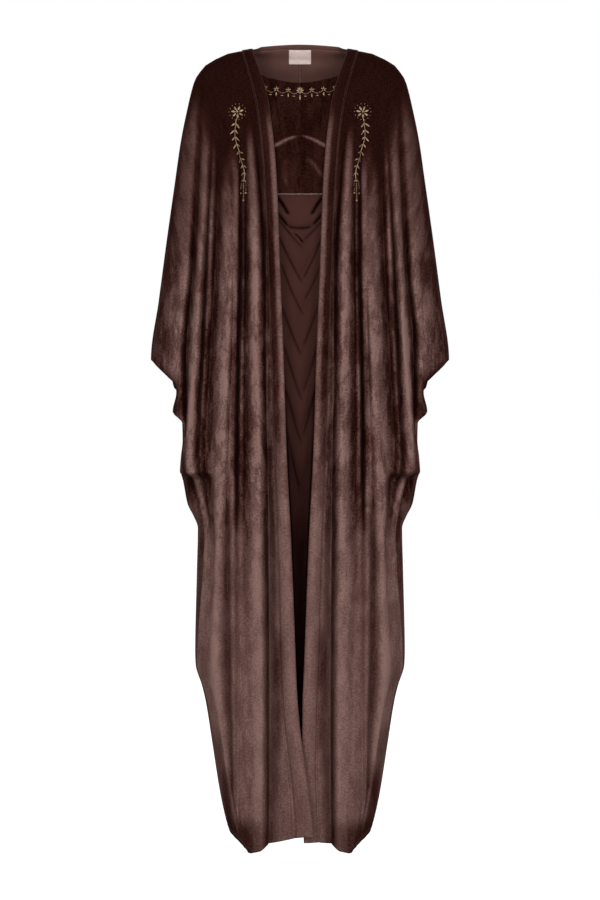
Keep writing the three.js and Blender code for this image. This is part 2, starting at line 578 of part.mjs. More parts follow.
// A cord covered in satin, caught in the waist seam.
function waistPiping() {
  const SIDES = 6;
  const ring = Array.from({ length: SIDES }, (_, k) => (2 * Math.PI * k) / SIDES);
  const line = SHARES.map((share) => insertPoint(share, WAIST_SEAM, 0, 2 * PIPING_RADIUS));
  const points = line.flatMap((p) =>
    ring.map((a) => [p.x, p.y + PIPING_RADIUS * Math.cos(a), p.z + PIPING_RADIUS * Math.sin(a)]),
  );
  const index = [];
  for (let i = 0; i < line.length - 1; i++) {
    for (let k = 0; k < SIDES; k++) {
      const [a, b] = [i * SIDES + k, i * SIDES + ((k + 1) % SIDES)];
      index.push(a, b, b + SIDES, a, b + SIDES, a + SIDES);
    }
  }
  for (let k = 1; k < SIDES - 1; k++) {
    const end = (line.length - 1) * SIDES;
    index.push(0, k + 1, k, end, end + k, end + k + 1);
  }
  const geometry = new THREE.BufferGeometry();
  geometry.setAttribute("position", new THREE.Float32BufferAttribute(points.flat(), 3));
  geometry.setIndex(index);
  geometry.computeVertexNormals();
  add("waist_piping", geometry, satin);
}
waistPiping();

// ---------------------------------------------------------------- label
// A woven label, bare, sewn inside the back neck across the centre seam.
function neckLabel() {
  const { grid, normals } = robe.backLeft;
  const half = LABEL.width / 2;
  const inset = VELVET / 2 + 2 * SEAM_GAP + LABEL_CLOTH / 2;
  const lining = moved(grid, normals, inset);
  const onBack = (across, z) => {
    const x = Math.abs(across * half);
    const j = Math.max(1, lining[0].findIndex((p) => p.x > x));
    const i = lining.findIndex((line) => line[j].z < z);
    const [upper, lower] = [lining[i - 1], lining[i]].map((line) => {
      const share = (x - line[j - 1].x) / (line[j].x - line[j - 1].x);
      return line[j - 1].clone().lerp(line[j], share);
    });
    return upper.lerp(lower, (upper.z - z) / (upper.z - lower.z)).setX(across * half);
  };
  const places = LABEL.rows.map((down) =>
    [-1, -0.5, 0, 0.5, 1].map((across) => onBack(across, LABEL.top - down * LABEL.height)),
  );
  add("neck_label", cloth(places, gridNormals(places), LABEL_CLOTH), labelCloth);
}
neckLabel();

export default kaftan;
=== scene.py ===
"""A long velvet kaftan in its worn shape: an open robe over a front insert with a draped crepe skirt."""

import bpy
import numpy as np
from bpy.props import FloatProperty, FloatVectorProperty, PointerProperty
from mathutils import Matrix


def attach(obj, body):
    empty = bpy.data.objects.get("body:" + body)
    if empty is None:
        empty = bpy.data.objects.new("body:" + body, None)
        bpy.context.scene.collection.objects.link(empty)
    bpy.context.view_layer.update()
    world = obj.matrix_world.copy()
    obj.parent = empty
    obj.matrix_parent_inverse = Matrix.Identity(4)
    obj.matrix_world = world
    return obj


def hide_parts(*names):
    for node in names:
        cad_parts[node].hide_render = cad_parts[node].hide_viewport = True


bl_info = {
    "name": "Velvet kaftan",
    "version": (1, 0, 0),
    "blender": (4, 5, 0),
    "location": "3D View > Sidebar > Kaftan",
    "description": "Builds the cloth, trims and embroidery of a velvet kaftan around its packed frame",
    "category": "Add Mesh",
}

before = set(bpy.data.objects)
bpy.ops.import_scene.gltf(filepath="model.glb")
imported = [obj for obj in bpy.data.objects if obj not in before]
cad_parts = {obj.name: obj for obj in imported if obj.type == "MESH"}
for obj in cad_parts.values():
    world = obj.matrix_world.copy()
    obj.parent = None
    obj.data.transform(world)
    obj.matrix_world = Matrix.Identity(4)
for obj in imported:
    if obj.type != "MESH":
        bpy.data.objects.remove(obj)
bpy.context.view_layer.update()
MM = 0.001

# ------------------------------------------------------------------ sizes, in millimetres
VELVET = 2.0
CREPE = 1.4
BAND_CLOTH = 1.2
LABEL_CLOTH = 1.0
SEAM_GAP = 0.3
SEAM_SLIT = 0.04  # what is left open between two sewn edges
NECK_HALF = 91
BACK_NECK_RISE = 11
BACK_NECK_DEPTH = 62
NECK_BAND_HEIGHT = 7
HEM_LEVEL = -1520
WAIST_SEAM = -282
PIPING_RADIUS = 1.7
PIPING_SIDES = 12
SIDE_TOP = 199  # where the side line starts on the shoulder line, from the centre
SLOPE_STEP = 2  # slopes are read between points this far to each side
# The levels at which the tables of fold lines give their distances and heights.
LEVELS = [0, -114, -247, -418, -580, -760, -931, -1159, -1368, HEM_LEVEL]

# Half the garment's width: the shoulder line, the overarm fold, the underarm corner and the pegged side
# seam.
OUTLINE = np.array([
    # level, half width
    [0, 94], [-4, 117], [-8, 137], [-19, 161], [-30, 179], [-42, 189], [-53, 196.5], [-65, 201], [-99, 210],
    [-171, 225], [-247, 236], [-361, 252], [-475, 267], [-589, 282], [-620, 276], [-660, 263], [-700, 249],
    [-750, 235], [-800, 226], [-817, 221], [-863, 212], [-885, 201], [-908, 193], [-994, 195],
    [-1140, 198], [-1165, 197], [-1205, 185], [-1235, 178], [-1311, 166], [-1402, 152],
    [-1450, 142], [-1480, 133.5], [HEM_LEVEL, 118],
])
SHOULDER_POINTS = 10  # how many of these points, from the first, lie on the shoulder line
CUFF_TOP, CUFF_END = -589, -800
CUFF_FRONT = np.array([
    # level, distance from the centre
    [-589, 282], [-606, 265], [-623, 247], [-640, 232], [-652, 231], [-688, 238.5], [-709, 220],
    [-741, 219.5], [-771, 223], [-800, 226],
])
CUFF_BACK = np.array([
    # level, distance from the centre
    [-589, 282], [-606, 266], [-623, 246], [-640, 241], [-652, 231], [-688, 229], [-709, 224],
    [-741, 218], [-771, 219], [-800, 226],
])
# The smooth form's depths in front of and behind the shoulder line, and how square it is between them.
FORM = np.array([
    # level, front, back, squareness
    [20, 0, 60, 2.3], [0, 4, 68, 2.3], [-10, 25, 74, 2.3], [-25, 42, 78, 2.3], [-60, 66, 90, 2.3],
    [-114, 90, 104, 2.3], [-180, 109, 113, 2.3], [-247, 120, 116, 2.35], [-418, 123, 114, 2.4],
    [-580, 122, 112, 2.5], [-760, 120, 114, 2.8], [-931, 120, 118, 3.2], [-1159, 120, 120, 3.2],
    [-1368, 118, 116, 2.8], [HEM_LEVEL, 112, 106, 2.5],
])
SEAM_DEPTH = np.array([
    # level, depth of the side seam
    [0, 0], [-250, -2], [-589, -8], [-760, -10], [-803, -14], [-908, -6], [HEM_LEVEL, 0],
])

# Fold lines from the opening edge, or the centre seam, to the side, crest and trough in turn.
FRONT_LINES = [
    # name, distance from the centre and how far it stands out, at each of LEVELS
    ("edge", [91, 58, 45, 38, 31, 25.5, 17, 8, 0, 0], [0, 0, 2, 5, 7, 7, 7, 7, 5, 3]),
    ("edge_roll", [95, 64, 51, 44, 38, 33, 25, 17, 9, 9], [0, 1, 6, 8, 9, 9, 9, 8, 6, 3]),
    ("band_line", [110, 81, 66, 58, 53, 46.5, 40, 34, 26, 28], [0, 0, -1, -2, 2, 0, 2, 0, 1, 0]),
    ("deep_pleat", [114, 90, 76, 64.5, 64, 60, 58.5, 57.5, 58, 60],
     [0, -1, -6, -11, -6, -12, -18, -18, -18, -15]),
    ("inner_crest", [119, 101, 86, 80, 80, 76, 75, 72, 71, 72], [0, 1, 8, 13, 13, 10, 11, 11, 10, 8]),
    ("inner_trough", [124, 112, 101, 101, 101.5, 101.5, 102, 97, 93, 90],
     [0, 0, -3, -5, -3, -5, 1, 3, 4, 4]),
    ("small_crest", [129, 118, 105, 105, 108, 110, 110, 108, 106, 104], [0, 0, 0, 0, 2, 0, 3, 4, 4, 3]),
    ("long_crease", [134, 124, 111, 111, 114, 117, 118, 117.5, 117.5, 113],
     [0, -1, -6, -11, -13, -17, -1, 1, 1, 1]),
    ("crease_lip", [139, 130, 117, 118, 121, 125, 125, 123, 122, 117], [0, 0, 4, 8, 3, 1, 3, 3, 3, 2]),
    ("thigh_trough", [144, 135, 122, 123, 127, 133, 136, 134, 128, 121],
     [0, 1, 5, 10, 5, 4, -6, -7, -4, 1]),
    ("outer_crest", [150, 143, 128, 128, 133, 142, 152, 158, 138, 124],
     [0, 2, 5, 12, 13, 12, 11, 10, 6, 1]),
    ("arm_trough", [157, 152, 154, 160, 169, 178, 160, 170, 143, 126.5],
     [0, 0, -7, -13, -16, -14, 3, 4, 0, 0]),
    ("arm_lip", [162, 158, 163, 170, 177, 186, 164, 175, 145.5, 128],
     [0, 0, 1, -2, -6, -7, 2, 4, -2, 0]),
    ("arm_crease", [167, 164, 168, 176, 183, 191, 168, 180, 148, 129.2],
     [0, 0, -1, -8, -14, -15, 2, 4, -4, 0]),
    ("sleeve_crest", [174, 174, 176, 185, 194, 208, 172, 185, 150, 130.4],
     [0, 1, 7, 11, 11, 10, 2, 5, -4, 0]),
    ("sleeve_crease", [183, 187, 192, 201, 214, 213, 177.5, 190, 152, 131.4],
     [0, -1, -5, -9, -14, 2, 3, 6, -4, 0]),
    ("overarm_crest", [191, 199, 209, 211, 224, 217, 183, 194, 154, 132.4],
     [0, 2, 6, 12, 14, 1, -16, -5, -3, 0]),
    ("side", None, [0, 0, 0, 0, 0, 0, 0, 0, 0, 0]),
]
BACK_LINES = [
    # name, distance from the centre and how far it stands out, at each of LEVELS
    ("centre", [0, 0, 0, 0, 0, 0, 0, 0, 0, 0], [0, 0, -1, -5, -7, -8, -8, -8, -6, -4]),
    ("back_crest_1", [22, 22, 21, 22, 21, 20, 19, 22, 19, 17], [0, 0, 1, 7, 9, 10, 10, 11, 8, 6]),
    ("back_trough_1", [44, 44, 42, 41, 40, 39, 38, 42, 37, 33],
     [0, 0, -2, -7, -9, -10, -11, -10, -7, -5]),
    ("back_crest_2", [66, 64, 62, 62, 61, 59, 57, 62, 55, 49], [0, 0, 2, 6, 9, 8, 8, 10, 7, 5]),
    ("back_trough_2", [91, 86, 83, 84, 83, 79, 76, 84, 74, 65],
     [0, 0, -3, -10, -13, -14, -14, -12, -9, -6]),
    ("back_crest_3", [112, 106, 104, 107, 109, 104, 98, 108, 95, 82],
     [0, 0, 4, 10, 12, 12, 11, 11, 9, 6]),
    ("back_trough_3", [138, 132, 130, 135, 143, 140, 122, 132, 115, 99],
     [0, 0, -4, -10, -13, -13, -9, -10, -7, -4]),
    ("back_crest_4", [160, 156, 156, 165, 178, 176, 147, 156, 131, 113],
     [0, 0, 5, 10, 13, 11, 7, 9, 6, 2]),
    ("back_trough_4", [177, 181, 184, 198, 214, 203, 170, 177, 144, 123],
     [0, 0, -3, -9, -11, -6, -3, -5, -2, 0]),
    ("back_crest_5", [190, 199, 212, 226, 244, 213, 184, 190, 152, 130],
     [0, 1, 5, 10, 12, 2, 2, 2, 0, 0]),
    ("side", None, [0, 0, 0, 0, 0, 0, 0, 0, 0, 0]),
]
# How low each fold line ends at the hem.
FRONT_HEM = [
    -1493, -1493, -1492, -1496, -1509, -1515, -1514, -1509, -1506, -1502, -1499, -1496, -1493, -1491, -1488,
    -1485, -1483, -1480,
]
BACK_HEM = [-1500, -1503, -1504, -1504, -1503, -1502, -1500, -1496, -1490, -1485, -1480]
LAP = np.array([
    # level, the left front's edge moves out, the right front's crosses over, each moves this far in depth
    [-1120, 0, 0, 0], [-1210, 0, 0, 3.5], [-1273, 2, 2, 5.5], [-1368, 4, 12, 6.5], [-1450, 6, 21, 6.5],
    [HEM_LEVEL, 7, 26, 6.5],
])
LAP_FADE = (12, 62)  # the lap's shift is whole up to the first of these from the centre, none at the second
LAP_HEM_RISE = 12
POUCH = np.array([
    # level, how far the cloth stands out where the sleeve pouches over the cuff
    [-700, 0], [-770, 10], [-795, 16], [-803, 16], [-811, -20], [-835, -22], [-870, -14], [-908, -6],
    [-940, 0],
])
POUCH_FROM, POUCH_FULL = 158, 186  # from the centre, where the pouch begins and where it is whole
LEAST_SPACING = 3.4  # each fold line stays at least this far from the side for each line between them
LEANT_SPACING = 2.7  # the same once the folds lean
SIDE_INSET = 3  # the outward direction is read at least this far inside the side
LEAST_BULGE = 1.6  # how far a panel stands off the side seam's depth
BULGE_SLOPE = 0.12  # and how much farther for each millimetre away from the side
CREASE_EASE = 1.5  # small creases fade over this many fold lines beside the side
CREASE_TELLS = 1.5  # how much more painted light and shade a small crease gets than a fold of its height
NECK_FADE = 70  # how far down the neck's own curve fades into the form
NECK_SQUARENESS = 2.2
SHOULDER_FADE = 40  # how far down from the shoulder line the bulge comes in
FOLD_SPREAD = 0.3  # how far a fold leans sideways, for each millimetre that it stands out
CREST_BREADTH = 0.6  # power that widens a crest and tightens a trough
SLOPE_END = -165  # the rows follow the shoulder line's slope down to here
HEM_CURVE_START = -1270  # and take on the hem's curve from here down
INSERT_FULLNESS = 2.6  # power of the insert's curve from a seat to the centre
INSERT_CENTRE = np.array([
    # level, depth
    [-40, -66], [-70, -80], [-100, -91], [-165, -103], [-230, -103], [-290, -101], [-340, -99], [-450, -92],
    [-600, -84], [-800, -76], [-1000, -70], [-1200, -68], [-1440, -68],
])
NECKLINE = {"centre": -72, "rise": 34}
BUST = {"x": 50, "level": -165, "rise": 6, "across": 26, "down": 42}  # a soft bell on each side
TUCK = 1.4  # air between the insert and the fronts that cover it
EDGE_INSET = 0.5  # a point in the opening takes the front's depth this far from its edge
EDGE_REACH = 16  # the insert keeps behind the fronts to this far inside their edges
EDGE_EASE = 6  # over how far it then comes free
FREE_DEPTH = 200  # and how far forward the limit moves for what is free
STEEPEST = 2.5  # most that a slope may lengthen a distance that is measured square
INSERT_HEM = -1440
SKIRT_FOLDS = np.array([
    # level at the centre, climb to the side, flat stretch at the centre, how far the cloth stands out
    [-284, 0, 0.3, 0], [-302, 0.12, 0.3, 3], [-328, 0.5, 0.3, 9], [-347, 0.85, 0.22, -4],
    [-361, 1.1, 0.1, 4], [-378, 1.45, 0.07, -3], [-404, 1.7, 0.06, 4], [-430, 1.9, 0.05, -3],
    [-462, 2.1, 0.05, 4], [-498, 2.25, 0.05, -3], [-536, 2.4, 0.05, 4], [-574, 2.5, 0.05, -3],
    [-608, 2.6, 0.05, 5], [-646, 2.7, 0.05, -3], [-684, 2.8, 0.05, 6], [-722, 2.85, 0.05, -4],
    [-772, 2.9, 0.05, 6], [-822, 2.9, 0.05, -4], [-880, 2.8, 0.06, 5], [-940, 2.5, 0.08, -3],
    [-1030, 3.9, 0.1, 3], [-1140, 1.0, 0.1, 0], [-1260, 0.4, 0.1, 0], [INSERT_HEM, 0, 0.1, 0],
])
VEE_REACH = 0.55  # a vee climbs evenly to this share of the way to the side, then levels off

# Small creases laid on the folds: soft troughs (out below 0) and ridges (out above 0).
SKIRT_CREASES = [
    # x and level at the top, x and level at the bottom, half width, out, sideways bow
    (-54, -276, -22, -323, 4.6, -3.6, 3), (54, -276, 22, -323, 4.6, -3.4, -3),
    (-62, -297, -23, -345, 4.2, -2.8, 1), (62, -298, 25, -343, 4.0, -2.6, -1),
    (-12, -354, 7, -373, 2.2, -4.6, 1), (-50, -320, 9, -386, 2.4, -1.3, -3),
    (52, -326, 5, -370, 2.4, -1.3, 2), (-50, -350, 7, -451, 2.5, -1.9, -3),
    (52, -348, 5, -443, 2.5, -1.8, 3), (-45, -402, 9, -512, 2.5, -1.7, -3),
    (50, -404, 8, -482, 2.4, -1.4, 2), (-45, -478, 5, -588, 2.5, -1.5, -2),
    (48, -466, 5, -570, 2.4, -1.4, 2), (-38, -556, 6, -672, 2.7, -1.4, -2),
    (44, -544, 5, -656, 2.7, -1.4, 2), (-33, -640, 4, -752, 2.8, -1.3, -2),
    (39, -626, 5, -738, 2.8, -1.3, 2), (-29, -720, 0, -840, 2.8, -1.1, -2),
]
BODICE_CREASES = [
    # x and level at the top, x and level at the bottom, half width, out, sideways bow
    (-4, -172, -62, -197, 8.0, 3.2, -5), (2, -171, 62, -197, 7.6, 3.0, 5), (14, -212, 54, -254, 7, 1.3, 4),
    (-32, -212, -30, -272, 7, 0.8, -4), (2, -196, -2, -276, 8, -1.0, 3), (-44, -100, -52, -160, 8, 0.6, -3),
]
FRONT_CREASES = [
    # x and level at the top, x and level at the bottom, half width, out, sideways bow
    (150, -60, 118, -330, 7, -1.6, 5), (176, -90, 160, -330, 6, -1.8, 3),
    (196, -120, 205, -420, 5, 1.6, 3), (128, -200, 128, -420, 5, -1.8, -2),
    (90, -150, 88, -420, 5, 1.4, 2), (215, -260, 232, -520, 5, -2.0, 3),
    (148, -360, 156, -640, 5, 1.8, -3), (92, -420, 91, -700, 5, -1.4, 2),
    (190, -420, 200, -640, 5, -2.0, 4), (245, -400, 262, -560, 4, 1.6, 2),
    (108, -560, 104, -860, 5, 1.5, 3), (172, -560, 176, -760, 4, 1.8, -2),
    (214, -600, 216, -760, 4, -2.0, 2), (146, -740, 142, -1010, 6, -1.6, 4),
    (84, -800, 84, -1130, 5, 1.3, -2), (120, -880, 112, -1180, 9, -0.7, 3),
    (170, -900, 178, -1140, 9, 0.8, 3), (156, -980, 150, -1300, 9, -0.7, -4),
    (98, -1100, 92, -1420, 5, 1.4, 3), (134, -1180, 118, -1440, 5, -1.4, 3),
    (74, -1240, 78, -1480, 5, 1.2, -2), (224, -790, 150, -905, 5, -2.4, 12),
    (214, -815, 160, -1000, 6, 2.2, 14), (206, -840, 176, -960, 4, -2.0, 8),
]
BACK_CREASES = [
    # x and level at the top, x and level at the bottom, half width, out, sideways bow
    (60, -80, 52, -360, 7, -1.6, 4), (128, -90, 118, -400, 7, 1.8, 5), (172, -140, 170, -430, 6, -2.0, 4),
    (206, -220, 222, -500, 5, 1.8, 3), (34, -300, 31, -640, 5, 1.5, 2), (94, -420, 92, -760, 5, 1.6, -3),
    (152, -480, 160, -740, 5, -2.0, 4), (196, -520, 204, -700, 5, 1.8, 3),
    (70, -760, 68, -1080, 6, -1.5, 3), (132, -800, 112, -1120, 6, 1.8, 6),
    (218, -800, 150, -950, 5, -2.2, 14), (176, -860, 168, -1140, 5, -1.6, -4),
    (48, -1080, 46, -1400, 5, 1.4, 2), (104, -1140, 92, -1450, 5, -1.5, 4),
    (146, -1120, 124, -1400, 5, 1.5, 5),
]
# Painted highlight lines and painted shadow pockets, laid on a panel.
FRONT_PAINTED_LIGHT = [
    # x and level at the top, x and level at the bottom, half width, painted light (painted shade below 0),
    # sideways bow
    (61.5, -300, 60.5, -800, 1.5, 0.36, 0), (66.5, -110, 65.5, -560, 1.2, 0.16, 0),
    (54.5, -820, 54, -1420, 5.0, 0.17, 0), (163, -250, 170, -600, 2.6, 0.26, 1),
    (116, -1225, 116, -1530, 1.4, 0.16, 0), (136, -1330, 130, -1530, 12, -0.36, 4),
    (162, -1080, 158, -1320, 9, 0.12, 0), (92, -380, 96, -450, 9, -0.24, 2),
    (96, -640, 92, -770, 8, -0.10, -3), (124, -560, 126, -700, 6, -0.20, 2),
    (226, -380, 236, -470, 12, -0.18, 4), (246, -500, 254, -600, 10, -0.14, 0),
    (212, -660, 214, -760, 8, -0.20, 2), (88, -880, 92, -960, 9, -0.16, 2),
    (78, -1050, 80, -1130, 7, -0.10, 0), (40, -1180, 42, -1350, 5, -0.10, 2),
    (146, -660, 148, -760, 5, 0.12, 0), (38, -1080, 37, -1225, 9, -0.30, 2),
    (40, -1205, 38, -1335, 4.5, -0.20, -2), (223, -596, 223, -718, 13, -0.40, 0),
    (208, -800, 214, -872, 12, -0.42, 0), (104, -1438, 104, -1566, 40, -0.46, 0),
    (61, -470, 57, -1080, 7, 0.19, 0), (200, -380, 205, -800, 10, 0.29, 0),
    (168, -980, 160, -1240, 10, 0.06, 0), (88, -300, 84, -560, 9, 0.18, 0),
    (132, -220, 132, -360, 9, -0.16, 0), (134, -540, 134, -740, 10, 0.14, 2),
    (60, -800, 58, -1080, 7, 0.13, 0), (134, -780, 134, -1010, 9, 0.08, 0),
    (133, -1060, 132, -1300, 11, -0.08, 0), (108, -680, 106, -912, 12, -0.26, 0),
    (170, -300, 170, -440, 8, 0.12, 0), (240, -180, 250, -430, 12, -0.14, 0),
    (90, -500, 90, -720, 8, 0.10, 0),
]
BACK_PAINTED_LIGHT = [
    # x and level at the top, x and level at the bottom, half width, painted light (painted shade below 0),
    # sideways bow
    (14, -250, 12, -700, 7, -0.14, 3), (38, -420, 44, -980, 9, 0.12, -4),
    (66, -330, 60, -560, 8, -0.18, 3), (84, -640, 90, -1010, 9, -0.16, 4),
    (112, -300, 120, -690, 10, 0.10, -5), (146, -480, 150, -800, 10, -0.18, 4),
    (24, -1010, 22, -1340, 6, -0.12, 2), (56, -1120, 54, -1400, 8, -0.12, -2),
    (98, -1180, 92, -1440, 8, 0.10, 3), (128, -900, 124, -1220, 9, -0.14, 3),
    (190, -360, 206, -620, 12, -0.14, 5), (170, -620, 176, -880, 8, 0.12, -3),
]
BACK_FOLD_SHADE = 0.35  # share of the front's painted crest light and trough shade that the back keeps
BACK_TOP_SHADE_EASE = 210  # how far down the back's painted shade at the top takes to fade
ROW_STEP = 5.0
PARTS = 7  # columns between two fold lines of a front
BACK_PARTS = 8  # and of a back


# ------------------------------------------------------------------ reading the tables
def smooth(t):
    """An even ease from 0 to 1: 3 t squared less 2 t cubed."""
    t = np.clip(t, 0, 1)
    return t * t * (3 - 2 * t)


def through(at, values, where):
    """Monotone cubic through a table whose first column falls.

    Each point's tangent is the harmonic mean of the slopes beside it, so the curve never overshoots.
    """
    at, values = -np.asarray(at, float), np.asarray(values, float)
    where = np.clip(-np.asarray(where, float), at[0], at[-1])
    slope = np.diff(values) / np.diff(at)
    before, after = slope[:-1], slope[1:]
    same = before * after > 0
    tangent = np.concatenate([
        slope[:1], np.where(same, 2 * before * after / np.where(same, before + after, 1), 0), slope[-1:],
    ])
    i = np.clip(np.searchsorted(at, where, side="right") - 1, 0, len(at) - 2)
    span = at[i + 1] - at[i]
    t = (where - at[i]) / span
    bow = (1 + 2 * t) * (1 - t) ** 2
    return (
        bow * values[i]
        + t * (1 - t) ** 2 * span * tangent[i]
        + (1 - bow) * values[i + 1]
        + t * t * (t - 1) * span * tangent[i + 1]
    )


def column(table, k, level):
    """A table's column k at a level, along the curve through its rows."""
    return through(table[:, 0], table[:, k], level)


def half_width(z):
    """Half the garment's width at a height."""
    return column(OUTLINE, 1, z)


def side_at(z, cuff):
    """How far the side line is from the centre: the cuff's edge between its ends, the outline elsewhere."""
    return np.where((z < CUFF_TOP) & (z > CUFF_END), column(cuff, 1, z), half_width(z))


def shoulder_line(x):
    """Height of the shoulder line above a point this far from the centre, straight between its points."""
    rising = OUTLINE[:SHOULDER_POINTS]
    return np.interp(x, rising[:, 1], rising[:, 0])


# ------------------------------------------------------------------ the robe's form
def form_depth(x, z, facing):
    """Depth of the smooth form: a superellipse from the centre's depth to the side seam's.

    To the seam's depth it adds the rest of the centre's, times the superellipse's height at this share of
    the half width. facing is -1 for the front and +1 for the back.
    """
    depth = column(FORM, 1 if facing < 0 else 2, z)
    square = column(FORM, 3, z)
    seam = column(SEAM_DEPTH, 1, z)
    share = np.clip(np.abs(x) / half_width(z), 0, 1)
    return seam + (facing * depth - seam) * (1 - share**square) ** (1 / square)


def form_outward(x, z, facing):
    """The form's outward direction, level with the ground, as (across, depth).

    It is square to the slope of the depth, read between two points beside this one.
    """
    rise = form_depth(x + SLOPE_STEP, z, facing) - form_depth(x - SLOPE_STEP, z, facing)
    slope = rise / (2 * SLOPE_STEP)
    length = np.hypot(slope, 1)
    return -slope * facing / length, facing / length


def creased(x, level, creases, fading=3.2):
    """Sum of the small creases: each is a bell across its line, and fades in and out along it, over one
    part in fading of its length."""
    total = np.zeros(np.broadcast(x, level).shape)
    for x0, top, x1, bottom, width, out, bow in creases:
        along = (top - level) / (top - bottom)
        inside = np.clip(along, 0, 1)
        line = x0 + (x1 - x0) * inside + bow * np.sin(np.pi * inside)
        fade = smooth(np.minimum(along, 1 - along) * fading)
        total += out * fade * np.exp(-(((x - line) / width) ** 2))
    return total


# facing is -1 at the front and +1 at the back. lap is +1 on the front that laps over, -1 on the one under.
PANELS = {
    "front_over": {"lines": FRONT_LINES, "hem": FRONT_HEM, "cuff": CUFF_FRONT, "facing": -1, "lap": 1},
    "front_under": {"lines": FRONT_LINES, "hem": FRONT_HEM, "cuff": CUFF_FRONT, "facing": -1, "lap": -1},
    "back": {"lines": BACK_LINES, "hem": BACK_HEM, "cuff": CUFF_BACK, "facing": 1, "lap": 0},
}


def robe_grid(panel, across, levels):
    """A robe panel on the +X side as a grid of points, and how far each stands off the smooth form.

    across counts fold lines and the parts between them, levels run down the panel. A point's distance
    from the centre runs evenly between two fold lines, and its relief turns over broadly on a crest and
    tightly in a trough. Its depth is the form's, moved outwards by the relief.
    """
    facing, lap, hem = panel["facing"], panel["lap"], np.array(panel["hem"], float)
    lines = panel["lines"]
    last = len(lines) - 1
    level = levels[:, None]
    i = np.clip(across.astype(int), 0, last - 1)
    share = across - i
    top_lines = np.array([line[1][0] for line in lines[:-1]] + [SIDE_TOP], float)
    top_x = top_lines[i] + (top_lines[i + 1] - top_lines[i]) * share
    neck = (facing > 0) & (top_x <= NECK_HALF)
    top_z = np.where(neck, BACK_NECK_RISE * (1 - (top_x / NECK_HALF) ** 2), shoulder_line(top_x))
    hem_z = np.interp(across, np.arange(last + 1), hem)
    slope = 1 - smooth(level / SLOPE_END)
    curve = np.clip((level - HEM_CURVE_START) / (HEM_LEVEL - HEM_CURVE_START), 0, 1) ** 2
    z = level + top_z * slope + (hem_z - HEM_LEVEL) * curve
    side = side_at(level + shoulder_line(SIDE_TOP) * slope + (hem[-1] - HEM_LEVEL) * curve, panel["cuff"])
    xs = np.stack([through(LEVELS, line[1], levels) for line in lines[:-1]] + [side[:, 0]], axis=1)
    outs = np.stack([through(LEVELS, line[2], levels) for line in lines], axis=1)
    x = xs[:, i] + (xs[:, i + 1] - xs[:, i]) * share
    rises = outs[:, i + 1] > outs[:, i]
    turn = np.where(rises, smooth(share) ** CREST_BREADTH, 1 - smooth(1 - share) ** CREST_BREADTH)
    out = outs[:, i] + (outs[:, i + 1] - outs[:, i]) * turn
    left = last - across
    is_side = np.isclose(left, 0)
    x = np.where(is_side, side, np.minimum(x, side - left * LEAST_SPACING))
    relief = out.copy()
    if facing < 0:
        pouch = smooth((x - POUCH_FROM) / (POUCH_FULL - POUCH_FROM)) * column(POUCH, 1, z)
        out = out + np.where(is_side, 0, pouch)
    y = form_depth(np.minimum(x, half_width(z)), z, facing)
    fine = creased(x, level, FRONT_CREASES if facing < 0 else BACK_CREASES) * smooth(left / CREASE_EASE)
    out = out + fine
    if facing > 0:
        share = np.minimum(top_x, NECK_HALF) / NECK_HALF
        ring = (1 - share**NECK_SQUARENESS) ** (1 / NECK_SQUARENESS)
        start = np.where(neck, BACK_NECK_DEPTH * ring, 0)
        y = y + (start - form_depth(top_x, top_z, facing)) * (1 - smooth((top_z - z) / NECK_FADE))
    reach, depth = form_outward(np.minimum(x, half_width(z) - SIDE_INSET), z, facing)
    below = smooth((top_z - z) / SHOULDER_FADE)
    x_out = np.minimum(x + reach * out * FOLD_SPREAD, side - left * LEANT_SPACING)
    seam = column(SEAM_DEPTH, 1, z) + facing * below * (LEAST_BULGE + (side - x_out) * BULGE_SLOPE)
    y_out = y + depth * out
    y_out = np.minimum(y_out, seam) if facing < 0 else np.maximum(y_out, seam)
    y_side = y + outs[:, -1:] * facing
    x, y = np.where(is_side, x, x_out), np.where(is_side, y_side, y_out)
    if lap:
        near = 1 - smooth((x - LAP_FADE[0]) / (LAP_FADE[1] - LAP_FADE[0]))
        x = x + near * (-column(LAP, 2, level) if lap > 0 else column(LAP, 1, level))
        y = y - near * lap * column(LAP, 3, level)
        z = z + (near * curve * LAP_HEM_RISE if lap > 0 else 0)
    y[0] = np.where(neck, y[0], 0)
    half = SEAM_SLIT / 2
    y[:, -1] += facing * half
    y[0, :-1] += np.where(neck, 0, facing * half)[:-1]
    if facing > 0:
        x[:, 0] += half
    return np.stack([x, y, z], axis=2), relief + fine * CREASE_TELLS


def normals_of(grid, first=None, last=None, top=None):
    """Unit normals by central differences. Where two pieces meet, an edge's normals give up one axis."""
    down = np.gradient(grid, axis=0)
    across = np.gradient(grid, axis=1)
    normal = np.cross(down, across)
    normal /= np.linalg.norm(normal, axis=2, keepdims=True)
    if first is not None:
        normal[:, 0, first] = 0
    if last is not None:
        normal[:, -1, last] = 0
    if top is not None:
        normal[0, top, 1] = 0
    return normal / np.linalg.norm(normal, axis=2, keepdims=True)


def mirrored(grid):
    """The same grid on the other side of the garment, its columns still running the same way round."""
    return (grid * [-1, 1, 1])[:, ::-1]


# ------------------------------------------------------------------ meshes
def opaque(colour):
    """A colour property with its alpha."""
    return (*colour, 1.0)


def linear(colour):
    """An sRGB hex string as linear red, green, blue and alpha."""
    srgb = np.array([int(colour[k : k + 2], 16) for k in (1, 3, 5)]) / 255
    return (*np.where(srgb <= 0.04045, srgb / 12.92, ((srgb + 0.055) / 1.055) ** 2.4), 1.0)


def quads(rows, columns, start=0):
    """Corner indices of a grid's quads, turned to face the way its normals do."""
    a = (np.arange(rows - 1)[:, None] * columns + np.arange(columns - 1)).ravel() + start
    return np.stack([a, a + columns, a + columns + 1, a + 1], axis=1)


